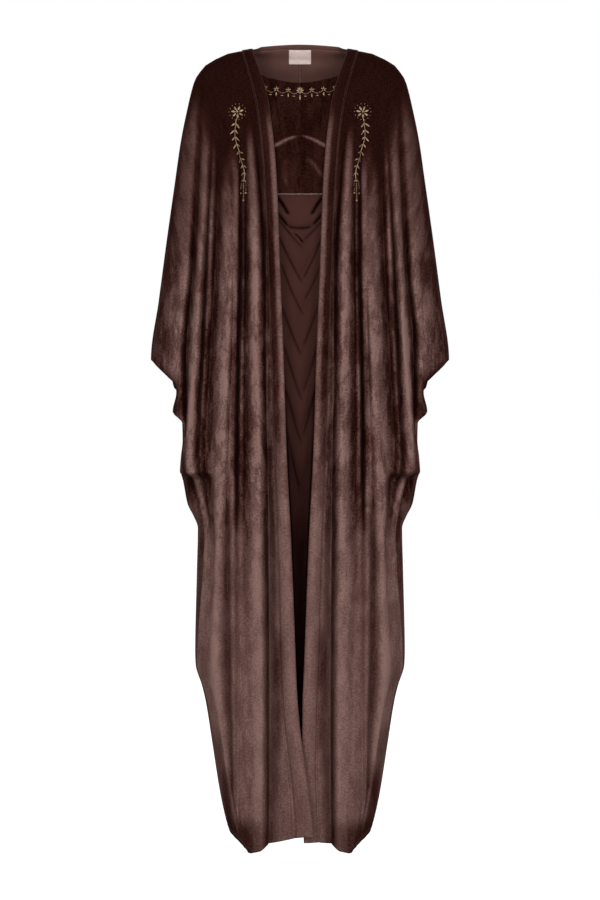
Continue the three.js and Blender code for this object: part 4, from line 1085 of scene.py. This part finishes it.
class KAFTAN_OT_insert(bpy.types.Operator):
    """Build the insert: velvet bodice, satin piping in the waist seam and draped crepe skirt"""

    bl_idname = "kaftan.insert"
    bl_label = "Bodice, piping and skirt"

    def execute(self, context):
        share = np.linspace(-1, 1, INSERT_COLUMNS + 1)[None, :]
        sides = [material_of(pile_velvet), material_of(velvet_reverse)]
        down = np.linspace(0, 1, BODICE_ROWS + 1)[:, None]
        top = NECKLINE["centre"] + NECKLINE["rise"] * share**2
        z = top + (WAIST_SEAM + PIPING_RADIUS + SEAM_GAP - top) * down
        fine = creased(share * BODICE_HALF, z, BODICE_CREASES, BODICE_FADING)
        grid = insert_points(share, z, fine, VELVET)
        normals = normals_of(grid)
        cloth["bodice_front"] = (grid, normals)
        low = BODICE_SHADE["low"] * smooth((BODICE_SHADE["from"] - z) / BODICE_SHADE["over"])
        painted_shade = BODICE_SHADE["own"] + BODICE_SHADE["ridge"] * np.maximum(fine, BODICE_SHADE["least"]) + low
        obj = wall("bodice_cloth", grid, normals, VELVET, 0, sides, painted_shade, BODICE_SHADE["crush"])
        finish_piece(obj, "velvet", "bodice_front")
        self.skirt(share)
        self.piping(share)
        return {"FINISHED"}

    def skirt(self, share):
        """The draped skirt.

        Rows run through a table of folds: each climbs from the centre to the sides in a vee, and stands
        out on a fold's roll and back in the crease under it. The vee is a hyperbola that levels off. Painted
        light lies on the rolls, and painted shade in the creases, lower down and beside the robe's edges.
        """
        count = len(SKIRT_FOLDS) - 1
        row = np.linspace(0, count, count * FOLD_PARTS + 1)
        i = np.minimum(row.astype(int), count - 1)
        part = row - i
        level, climb, flat = (
            np.interp(row, np.arange(count + 1), SKIRT_FOLDS[:, k])[:, None] for k in range(3)
        )
        outs = SKIRT_FOLDS[:, 3]
        rises = outs[i + 1] > outs[i]
        turn = np.where(rises, smooth(part) ** ROLL_BREADTH, 1 - smooth(1 - part) ** ROLL_BREADTH)
        out = (outs[i] + (outs[i + 1] - outs[i]) * turn)[:, None]
        away = np.hypot(share, flat) - flat
        vee = away / (1 + (away / VEE_REACH) ** 4) ** 0.25
        reach, _ = seat("front_left", level, CREPE)
        z = level + climb * reach * vee
        fine = creased(share * SKIRT_HALF, z, SKIRT_CREASES, SKIRT_FADING)
        grid = insert_points(share, z, out * SKIRT_RELIEF + fine, CREPE)
        line = COWL_SHADOW["level"] + COWL_SHADOW["climb"] * (share * SKIRT_HALF) ** 2
        cowl_shadow = COWL_SHADOW["depth"] * np.exp(-(((z - line) / COWL_SHADOW["width"]) ** 2))
        cowl_shadow = cowl_shadow * smooth((COWL_SHADOW["end"] - np.abs(share)) / COWL_SHADOW["fade"])
        crease = np.minimum(fine - cowl_shadow, SKIRT_SHADE["most"]) - cowl_shadow
        painted_shade = SKIRT_SHADE["crease"] * crease + SKIRT_SHADE["fold"] * out
        painted_shade = painted_shade - SKIRT_LOW_SHADE["loss"] * smooth((SKIRT_LOW_SHADE["from"] - z) / SKIRT_LOW_SHADE["over"])
        beside = np.abs(share) * reach / through(LEVELS, FRONT_LINES[0][1], z)
        beside = smooth((beside - SKIRT_EDGE_SHADOW["at"]) / SKIRT_EDGE_SHADOW["across"])
        painted_shade = painted_shade - SKIRT_EDGE_SHADOW["loss"] * beside * smooth((SKIRT_EDGE_SHADOW["from"] - z) / SKIRT_EDGE_SHADOW["over"])
        obj = wall("skirt_cloth", grid, normals_of(grid), CREPE, 0, [material_of(heavy_crepe)], painted_shade)
        finish_piece(obj, "crepe", "skirt_front")

    def piping(self, share):
        """A round cord along the waist seam."""
        z = np.full(share.shape, float(WAIST_SEAM))
        line = insert_points(share, z, 0.0, 2 * PIPING_RADIUS)[0]
        obj = tubes("waist_piping_cord", [line], PIPING_RADIUS, [material_of(satin)], PIPING_SIDES)
        finish_piece(obj, "satin_piping", "waist_piping")


# ------------------------------------------------------------------ small things
NEAR = 12  # a point on a wall is looked for among grid points this near
ACROSS_TUBES = [0.12, 1.0, 0.07]  # a direction that no tube runs in: a tube's first side is square to it
LEAF_ROWS, LEAF_COLUMNS = 9, 5
LEAF_ENDS = (0.02, 0.98)  # a leaf's tips are cut by this share, so that they have a width
LEAF_EDGE, LEAF_RISE = 0.25, 0.9  # how high its edges stand, and how much more its middle line does
LEAF_FOOT = -0.4  # its underside lies this far inside the cloth
BEAD_BANDS, BEAD_TURNS = 4, 8
BEAD_SEAT = 0.7  # a bead's middle stands this share of its radius off the cloth


def tube_arrays(line, radius, sides):
    """Rings of points round a line and the quads between them, with a flat end at each end."""
    along = np.gradient(line, axis=0)
    along /= np.linalg.norm(along, axis=1, keepdims=True)
    side = np.cross(along, ACROSS_TUBES)
    side /= np.linalg.norm(side, axis=1, keepdims=True)
    up = np.cross(side, along)
    turn = np.linspace(0, 2 * np.pi, sides, endpoint=False)
    ring = np.cos(turn)[None, :, None] * side[:, None] + np.sin(turn)[None, :, None] * up[:, None]
    points = (line[:, None] + ring * radius).reshape(-1, 3)
    a = (np.arange(len(line) - 1)[:, None] * sides + np.arange(sides)).ravel()
    b = (np.arange(len(line) - 1)[:, None] * sides + (np.arange(sides) + 1) % sides).ravel()
    faces = np.stack([a, a + sides, b + sides, b], axis=1).tolist()
    last = (len(line) - 1) * sides
    faces += [list(range(sides)), list(range(last + sides - 1, last - 1, -1))]
    return points, faces


def tubes(name, lines, radius, materials, sides=6):
    """Several lines as tubes, joined in one mesh."""
    points, faces, start = [], [], 0
    for line in lines:
        rings, skin = tube_arrays(line, radius, sides)
        points.append(rings)
        faces += [[corner + start for corner in face] for face in skin]
        start += len(rings)
    return put_mesh(name, np.concatenate(points), faces, materials)


def on_wall(node, x, z, lift):
    """Points on a wall's outer side at x and z, moved out by lift.

    Each takes the nearest grid point's depth, carried along that point's tangent plane.
    """
    grid, normals = cloth[node][:2]
    flat, out = grid.reshape(-1, 3), normals.reshape(-1, 3)
    shape = np.shape(x)
    x, z, lift = (np.broadcast_to(a, shape).ravel() for a in (x, z, lift))
    beside = np.abs(flat[:, 0] - x.mean()) < np.ptp(x) + NEAR
    level = np.abs(flat[:, 2] - z.mean()) < np.ptp(z) + NEAR
    flat, out = flat[beside & level], out[beside & level]
    k = np.argmin((flat[:, 0] - x[:, None]) ** 2 + (flat[:, 2] - z[:, None]) ** 2, axis=1)
    p, n = flat[k], out[k]
    y = p[:, 1] - (n[:, 0] * (x - p[:, 0]) + n[:, 2] * (z - p[:, 2])) / n[:, 1]
    point = np.stack([x, y, z], axis=1) + n * (VELVET / 2 + lift)[:, None]
    return point.reshape(*shape, 3)


def satin_leaves(name, node, leaves, materials):
    """Almond leaves in satin stitch, laid on a wall: x, z, angle, length, width, all in one mesh.

    A leaf's half width is a sine along it to the power 0.8. Its height is highest on its middle line,
    falls off with the square of the distance from it, and follows the root of the sine along it. Its
    underside lies just inside the cloth, so it is closed.
    """
    leaves = np.asarray(leaves, float)
    along = np.linspace(*LEAF_ENDS, LEAF_ROWS)[None, :, None]
    across = np.linspace(-1, 1, LEAF_COLUMNS)[None, None, :]
    x0, z0, angle, length, width = (leaves[:, k][:, None, None] for k in range(5))
    a = along * length * np.ones_like(across)
    b = across * width / 2 * np.sin(np.pi * along) ** 0.8
    x = x0 + a * np.cos(angle) - b * np.sin(angle)
    z = z0 + a * np.sin(angle) + b * np.cos(angle)
    height = LEAF_EDGE + LEAF_RISE * (1 - across**2) * np.sin(np.pi * along) ** 0.5
    top = on_wall(node, x, z, height)
    foot = on_wall(node, x, z, LEAF_FOOT)
    size = LEAF_ROWS * LEAF_COLUMNS
    points = np.stack([top.reshape(len(leaves), size, 3), foot.reshape(len(leaves), size, 3)], axis=1)
    one = shell_faces(LEAF_ROWS, LEAF_COLUMNS)[:, ::-1]
    faces = (one[None] + (np.arange(len(leaves)) * 2 * size)[:, None, None]).reshape(-1, 4)
    return put_mesh(name, points.reshape(-1, 3), faces.tolist(), materials)


def beads(name, node, dots, materials):
    """Round beads on a wall: x, z, radius, each of bands of quads and two caps of triangles, in one mesh."""
    bands, turns = BEAD_BANDS, BEAD_TURNS
    tilt = np.linspace(0, np.pi, bands + 1)[1:-1]
    turn = np.linspace(0, 2 * np.pi, turns, endpoint=False)
    ring = np.stack([
        (np.sin(tilt)[:, None] * np.cos(turn)).ravel(),
        (np.sin(tilt)[:, None] * np.sin(turn)).ravel(),
        (np.cos(tilt)[:, None] * np.ones(turns)).ravel(),
    ], axis=1)
    unit = np.concatenate([ring, [[0, 0, 1], [0, 0, -1]]])
    faces = []
    for band in range(bands - 2):
        for k in range(turns):
            a, b = band * turns + k, band * turns + (k + 1) % turns
            faces.append([a, a + turns, b + turns, b])
    top, bottom, last = len(ring), len(ring) + 1, (bands - 2) * turns
    for k in range(turns):
        b = (k + 1) % turns
        faces.append([top, k, b])
        faces.append([bottom, last + b, last + k])
    x, z, radii = np.array(dots).T
    centres = on_wall(node, x, z, radii * BEAD_SEAT)
    points = centres[:, None] + unit[None] * radii[:, None, None]
    every = [[corner + i * len(unit) for corner in face] for i in range(len(centres)) for face in faces]
    return put_mesh(name, points.reshape(-1, 3), every, materials)


LABEL_HALF, LABEL_TOP, LABEL_HEIGHT = 21.5, 8.0, 26.0
LABEL_ROWS, LABEL_COLUMNS = 15, 21
LABEL_CLEAR = 0.3  # more air than a seam has, as it is sewn on at its ends only


class KAFTAN_OT_label(bpy.types.Operator):
    """Sew a bare woven label inside the back neck, across the centre seam"""

    bl_idname = "kaftan.label"
    bl_label = "Neck label"

    def execute(self, context):
        half, height = LABEL_HALF, LABEL_HEIGHT
        x, z = np.meshgrid(
            np.linspace(-half, half, LABEL_COLUMNS), LABEL_TOP - np.linspace(0, 1, LABEL_ROWS) * height
        )
        pairs = zip(cloth["back_right"][:2], cloth["back_left"][:2])
        cloth["back"] = [np.concatenate(pair, axis=1) for pair in pairs]
        places = on_wall("back", x, z, SEAM_GAP + LABEL_CLOTH / 2 + LABEL_CLEAR)
        ribbon = [material_of(woven_ribbon)]
        obj = wall("neck_label_ribbon", places, normals_of(places), LABEL_CLOTH, 0, ribbon)
        finish_piece(obj, "label_cloth", "neck_label")
        return {"FINISHED"}


# ------------------------------------------------------------------ stitching
THREAD_LIFT = 0.1
THREAD_SIDES = 4
BAND_STITCHES = (0.12, 1.9)  # fold lines from the opening edge, on the band
BESIDE_BAND = 0.12  # fold lines from the band's inner edge, on the front
SEAM_STITCH_COLUMNS = (-2, 1)  # the back's columns, counted from its middle, that the seam's stitches follow


def line_above_hem(name, inset):
    """A line of points on a panel's outer side, this far up from its lower edge, column by column."""
    grid, normals = cloth[name][:2]
    out = 1 if name.startswith("front") else -1
    up = np.cumsum(np.linalg.norm(np.diff(grid[::-1], axis=0), axis=2), axis=0)
    k = np.argmax(up > inset, axis=0)
    rows, every = grid.shape[0] - 1, np.arange(grid.shape[1])
    past = np.where(k > 0, up[np.maximum(k - 1, 0), every], 0)
    share = ((inset - past) / (up[k, every] - past))[:, None]
    low, high = grid[rows - k, every], grid[rows - k - 1, every]
    return low + (high - low) * share + normals[rows - k, every] * out * (VELVET / 2 + THREAD_LIFT)


def line_down(name, lines_in, lift):
    """A line of points down a front, this many fold lines in from its opening edge, moved out by lift.

    It runs evenly between the two columns of the grid beside it.
    """
    grid, normals = cloth[name][:2]
    place = lines_in * PARTS if name == "front_left" else grid.shape[1] - 1 - lines_in * PARTS
    k = int(place)
    share = place - k
    line = grid[:, k] * (1 - share) + grid[:, k + 1] * share
    return line + normals[:, k] * lift


class KAFTAN_OT_stitching(bpy.types.Operator):
    """Run the stitching of the hems, the front bands and the centre back seam"""

    bl_idname = "kaftan.stitching"
    bl_label = "Stitching"

    def execute(self, context):
        sizes = context.scene.kaftan_sizes
        thread, radius = [material_of(sewing_thread)], sizes.thread_radius / MM
        panels = ("front_left", "front_right", "back_left", "back_right")
        hems = [line_above_hem(name, sizes.hem_inset / MM) for name in panels]
        finish_piece(tubes("hem_stitching", hems, radius, thread, THREAD_SIDES), "velvet")
        rows = []
        for name in ("front_left", "front_right"):
            rows += [line_down(name, at, ON_VELVET + BAND_CLOTH / 2 + THREAD_LIFT) for at in BAND_STITCHES]
            rows.append(line_down(name, BAND_LINES + BESIDE_BAND, VELVET / 2 + THREAD_LIFT))
        finish_piece(tubes("band_stitching", rows, radius, thread, THREAD_SIDES), "velvet_band")
        grid, normals = cloth["back"]
        middle = grid.shape[1] // 2
        seam = [
            grid[:, middle + k] + normals[:, middle + k] * (VELVET / 2 + THREAD_LIFT) * [1, 1, 0]
            for k in SEAM_STITCH_COLUMNS
        ]
        finish_piece(tubes("centre_back_stitching", seam, radius, thread, THREAD_SIDES), "velvet")
        return {"FINISHED"}


# ------------------------------------------------------------------ embroidery
# A chest spray's stem: how far from the centre it runs, how far it sways, how many half waves and from
# where in one, its top level and its length down.
STEM = {"x": 113, "sway": 9, "waves": 1.5, "start": 0.15, "top": -138, "length": 122}
STEM_POINTS = 60
STEM_LIFT = 0.5
AHEAD = 0.02  # the stem's direction is read over this share of it
# Its pairs of leaves: the first and last as shares of the stem, how they shorten over all of it, their
# angle to it in radians, their width to their length, and a pair's shorter leaf to its longer one.
PAIRS = {"count": 9, "first": 0.08, "last": 0.97, "shorten": 0.5, "lean": 0.75, "slim": 0.23, "lesser": 0.8}
# The flower at its head: how far above the stem, its petals, the angle of the first, where they start from
# its middle, their width, and the radii of its middle bead, of the ring of small beads and of one of those.
FLOWER = {"above": 11, "petals": 7, "turned": 0.3, "inner": 3, "width": 4.0, "eye": 2.6}
HALO = {"radius": 15.5, "beads": 14, "bead": 0.9}
# The bead drops at its foot: which way each spreads, and its length; then their spacing and bead sizes.
DROPS = ((-1, 16), (0, 30), (1, 16))
DROP_STEP, DROP_SPREAD, DROP_START, DROP_BEAD, DROP_END = 3, 0.5, 4, 0.95, 2.0

# The neckline's run of flowers: half its width, their number, the level of its middle, how it rises with
# the square of the distance, and how much larger its middle flower is.
GARLAND = {"half": 66, "flowers": 7, "level": -87, "rise": 0.0016, "middle": 1.35}
SMALL_FLOWER = {"petals": 5, "middle_petals": 8, "inner": 1, "length": 4.2, "width": 2.2, "eye": 1.3}
DROP_LEAF = {"below": 6, "length": 8, "width": 2.6}
SWAG = {"from": 0.2, "to": 0.8, "beads": 7, "sag": 7, "bead": 0.85}
SWAG_LEAF = {"aside": 3.5, "below": 11.5, "length": 6, "width": 1.8}


def spray(side, leaf_length, petal_length):
    """A hand-sized leaf spray on one chest: a swaying stem with a flower at its head, leaves in pairs
    that shorten towards its foot, and three bead drops. side is -1 or +1.

    The stem sways as a sine down it. Its points are x and z, a leaf is x, z, angle, length and width, and
    a bead is x, z and radius.
    """
    t = np.linspace(0, 1, STEM_POINTS)
    x = side * (STEM["x"] + STEM["sway"] * np.sin(np.pi * (STEM["waves"] * t + STEM["start"])))
    z = STEM["top"] - STEM["length"] * t
    leaves = []
    for k, at in enumerate(np.linspace(PAIRS["first"], PAIRS["last"], PAIRS["count"])):
        px, pz = np.interp(at, t, x), np.interp(at, t, z)
        ahead = np.arctan2(np.interp(at + AHEAD, t, z) - pz, np.interp(at + AHEAD, t, x) - px)
        size = leaf_length * (1 - PAIRS["shorten"] * at)
        for way in (-1, 1):
            length = size if (k + (way > 0)) % 2 else size * PAIRS["lesser"]
            leaves.append((px, pz, ahead + way * PAIRS["lean"], length, size * PAIRS["slim"]))
    head_x, head_z, inner = x[0], z[0] + FLOWER["above"], FLOWER["inner"]
    leaves += [
        (head_x + inner * np.cos(a), head_z + inner * np.sin(a), a, petal_length, FLOWER["width"])
        for a in np.linspace(0, 2 * np.pi, FLOWER["petals"], endpoint=False) + FLOWER["turned"]
    ]
    dots = [(head_x, head_z, FLOWER["eye"])]
    dots += [
        (head_x + HALO["radius"] * np.cos(a), head_z + HALO["radius"] * np.sin(a), HALO["bead"])
        for a in np.linspace(0, 2 * np.pi, HALO["beads"], endpoint=False)
    ]
    for way, length in DROPS:
        count = length // DROP_STEP
        for k in range(count):
            aside = way * (DROP_STEP + k * DROP_SPREAD)
            dots.append((x[-1] + aside, z[-1] - DROP_START - DROP_STEP * k, DROP_BEAD))
        aside = way * (DROP_STEP + length / DROP_STEP * DROP_SPREAD)
        dots.append((x[-1] + aside, z[-1] - DROP_START - 1 - length, DROP_END))
    return np.stack([x, z], axis=1), leaves, dots


def garland():
    """A run of shallow bead swags along the neckline between small flowers, each with a leaf drop.

    Its line rises with the square of the distance from the centre, and a swag sags as a parabola. A leaf
    is x, z, angle, length and width, and a bead is x, z and radius.
    """

    def height(x):
        return GARLAND["level"] + GARLAND["rise"] * x**2

    posts = np.linspace(-GARLAND["half"], GARLAND["half"], GARLAND["flowers"])
    leaves, dots = [], []
    for x in posts:
        big = 1.0 if x else GARLAND["middle"]
        petals = SMALL_FLOWER["petals"] if x else SMALL_FLOWER["middle_petals"]
        inner, length, width = (SMALL_FLOWER[key] * big for key in ("inner", "length", "width"))
        leaves += [
            (x + inner * np.cos(a), height(x) + inner * np.sin(a), a, length, width)
            for a in np.linspace(0, 2 * np.pi, petals, endpoint=False) + np.pi / 2
        ]
        dots.append((x, height(x), SMALL_FLOWER["eye"] * big))
        below, length, width = (DROP_LEAF[key] * big for key in ("below", "length", "width"))
        leaves.append((x, height(x) - below, -np.pi / 2, length, width))
    for a, b in zip(posts[:-1], posts[1:]):
        t = np.linspace(SWAG["from"], SWAG["to"], SWAG["beads"])
        x = a + (b - a) * t
        z = height(x) - SWAG["sag"] * (1 - (2 * t - 1) ** 2)
        dots += [(at, level, SWAG["bead"]) for at, level in zip(x, z)]
        middle = (a + b) / 2
        leaves.append((
            middle - SWAG_LEAF["aside"],
            height(middle) - SWAG_LEAF["below"],
            0.0,
            SWAG_LEAF["length"],
            SWAG_LEAF["width"],
        ))
    return leaves, dots


class KAFTAN_OT_embroidery(bpy.types.Operator):
    """Lay the gold embroidery on both chests and along the neckline"""

    bl_idname = "kaftan.embroidery"
    bl_label = "Gold embroidery"

    def execute(self, context):
        sizes = context.scene.kaftan_sizes
        gold = [material_of(gold_thread)]
        for name, side in (("right", -1), ("left", 1)):
            stem, leaves, dots = spray(side, sizes.leaf_length / MM, sizes.petal_length / MM)
            node = f"front_{name}"
            finish_piece(satin_leaves(f"spray_leaves_{name}", node, leaves, gold), "velvet")
            line = on_wall(node, stem[:, 0], stem[:, 1], STEM_LIFT)
            finish_piece(tubes(f"spray_stem_{name}", [line], sizes.stem_radius / MM, gold), "velvet")
            finish_piece(beads(f"spray_beads_{name}", node, dots, gold), "velvet")
        leaves, dots = garland()
        finish_piece(satin_leaves("neckline_leaves", "bodice_front", leaves, gold), "velvet")
        finish_piece(beads("neckline_beads", "bodice_front", dots, gold), "velvet")
        return {"FINISHED"}


# ------------------------------------------------------------------ stage
# Sizes here are in metres.
CAMERA_DISTANCE = 6.0
CAMERA_LEVEL = -0.760
FRAME_HEIGHT = 1.71  # how much of the shoulder plane the picture's height takes in
SENSOR = 36.0  # the height of the camera's sensor, in millimetres
CLIP_END = 200
FLOOR_LEVEL = -1.545
FLOOR_RADIUS = 30.0
FLOOR_SIDES = 64

SOFTBOXES = [
    # name, place in metres, watts, width, height
    ("key_softbox_left", (-1.7, -4.3, 0.7), 170, 1.2, 2.4),
    ("key_softbox_right", (1.7, -4.3, 0.7), 170, 1.2, 2.4),
    ("low_softbox", (0.0, -4.8, -1.3), 110, 2.6, 0.7),
    ("back_softbox_left", (-2.4, 3.8, 0.8), 130, 1.6, 2.4),
    ("back_softbox_right", (2.4, 3.8, 0.8), 130, 1.6, 2.4),
]


class KAFTAN_OT_stage(bpy.types.Operator):
    """Set the pale floor, the soft studio lights and the camera"""

    bl_idname = "kaftan.stage"
    bl_label = "Studio"

    def execute(self, context):
        scene = context.scene
        turn = np.linspace(0, 2 * np.pi, FLOOR_SIDES, endpoint=False)
        level = np.full(FLOOR_SIDES, FLOOR_LEVEL)
        ring = np.stack([FLOOR_RADIUS * np.cos(turn), FLOOR_RADIUS * np.sin(turn), level], axis=1) / MM
        floor = put_mesh("studio_floor", ring, [list(range(FLOOR_SIDES))], [material_of(pale_paper)], False)
        world = bpy.data.worlds.new("white studio")
        scene.world = world
        world.use_nodes = True
        world.node_tree.nodes["Background"].inputs["Color"].default_value = linear("#ffffff")
        world.node_tree.nodes["Background"].inputs["Strength"].default_value = 1.0
        for name, place, power, width, height in SOFTBOXES:
            self.softbox(name, place, power, width, height)
        camera = bpy.data.objects.new("camera", bpy.data.cameras.new("camera"))
        camera.location = (0, -CAMERA_DISTANCE, CAMERA_LEVEL)
        camera.rotation_euler = (np.pi / 2, 0, 0)
        camera.data.sensor_fit = "VERTICAL"
        camera.data.sensor_height = SENSOR
        camera.data.lens = SENSOR * CAMERA_DISTANCE / FRAME_HEIGHT
        camera.data.clip_end = CLIP_END
        scene.collection.objects.link(camera)
        scene.camera = camera
        scene.view_settings.view_transform = "Standard"
        scene.view_settings.look = "None"
        return {"FINISHED"}

    def softbox(self, name, place, power, width, height):
        """A rectangular area light that looks at the middle of the garment.

        A light looks down, so it is tilted up to the middle's direction and then turned round to it.
        """
        data = bpy.data.lights.new(name, "AREA")
        data.shape = "RECTANGLE"
        data.size, data.size_y, data.energy = width, height, power
        light = bpy.data.objects.new(name, data)
        light.location = place
        towards = np.array([0, 0, CAMERA_LEVEL]) - place
        light.rotation_euler = (
            np.arctan2(np.hypot(towards[0], towards[1]), -towards[2]),
            0,
            np.arctan2(towards[1], towards[0]) - np.pi / 2,
        )
        bpy.context.scene.collection.objects.link(light)


# ------------------------------------------------------------------ properties and panel
def colour_property(name, description, default):
    """A colour that is given as an sRGB hex string and kept linear."""
    return FloatVectorProperty(
        name=name, description=description, default=linear(default)[:3], subtype="COLOR", size=3, min=0, max=1
    )


def length_property(name, description, default):
    """A length that is given in millimetres and kept in metres."""
    return FloatProperty(
        name=name, description=description, default=default * MM, min=0, precision=5, unit="LENGTH"
    )


class KaftanSizes(bpy.types.PropertyGroup):
    """Sizes of the trims that a maker would choose"""

    thread_radius: length_property("Thread radius", "Half the thickness of the sewing thread", 0.32)
    hem_inset: length_property("Hem stitching", "How far above the lower edge the hem is stitched", 11)
    stem_radius: length_property("Stem radius", "Half the thickness of a chest spray's stem", 0.65)
    leaf_length: length_property("Leaf length", "A chest spray's leaves at the head of its stem", 14)
    petal_length: length_property("Petal length", "The petals of a chest spray's flower", 9.5)


class KaftanLook(bpy.types.PropertyGroup):
    """Colours that a maker would choose"""

    # The velvet's colours are lit and shaded copies of the one cloth: painted shade, its own colour, painted
    # light and a painted highlight.
    velvet_shade: colour_property("Velvet, end on", "Pile seen end on, darkest", "#0d0302")
    velvet_mid: colour_property("Velvet", "The velvet's own colour", "#21100d")
    velvet_lit: colour_property("Velvet, leaning", "Where the pile leans and shines", "#3d2b28")
    velvet_highlight: colour_property("Velvet bloom", "The lightest nap", "#55413d")
    reverse_deep: colour_property("Velvet back", "The knitted back", "#37221e")
    reverse_lit: colour_property("Velvet back, lit", "The knitted back where it is lit", "#432e2a")
    # The crepe in painted shade in its folds, and in painted light.
    crepe_shade: colour_property("Crepe", "The crepe in its folds", "#090202")
    crepe_lit: colour_property("Crepe, lit", "The crepe where it is lit", "#2a1815")
    gold: colour_property("Gold", "Metallised thread", "#876e51")


class KAFTAN_PT_panel(bpy.types.Panel):
    """Lists the steps that build the kaftan"""

    bl_idname = "KAFTAN_PT_panel"
    bl_label = "Kaftan"
    bl_space_type = "VIEW_3D"
    bl_region_type = "UI"
    bl_category = "Kaftan"

    def draw(self, context):
        for operator in OPERATORS:
            self.layout.operator(operator.bl_idname)
        for name in KaftanSizes.__annotations__:
            self.layout.prop(context.scene.kaftan_sizes, name)
        for name in KaftanLook.__annotations__:
            self.layout.prop(context.scene.kaftan_look, name)


OPERATORS = (
    KAFTAN_OT_stage, KAFTAN_OT_robe, KAFTAN_OT_bands, KAFTAN_OT_insert, KAFTAN_OT_label, KAFTAN_OT_stitching,
    KAFTAN_OT_embroidery,
)


CLASSES = (KaftanSizes, KaftanLook, *OPERATORS, KAFTAN_PT_panel)


def register():
    """Registers the classes and hangs both groups of properties on the scene."""
    for item in CLASSES:
        bpy.utils.register_class(item)
    bpy.types.Scene.kaftan_sizes = PointerProperty(type=KaftanSizes)
    bpy.types.Scene.kaftan_look = PointerProperty(type=KaftanLook)


def unregister():
    """Takes off what register put on."""
    del bpy.types.Scene.kaftan_look
    del bpy.types.Scene.kaftan_sizes
    for item in reversed(CLASSES):
        bpy.utils.unregister_class(item)


def main():
    """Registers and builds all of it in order."""
    register()
    for step in ("stage", "robe", "bands", "insert", "label", "stitching", "embroidery"):
        getattr(bpy.ops.kaftan, step)()


if __name__ == "__main__":
    main()
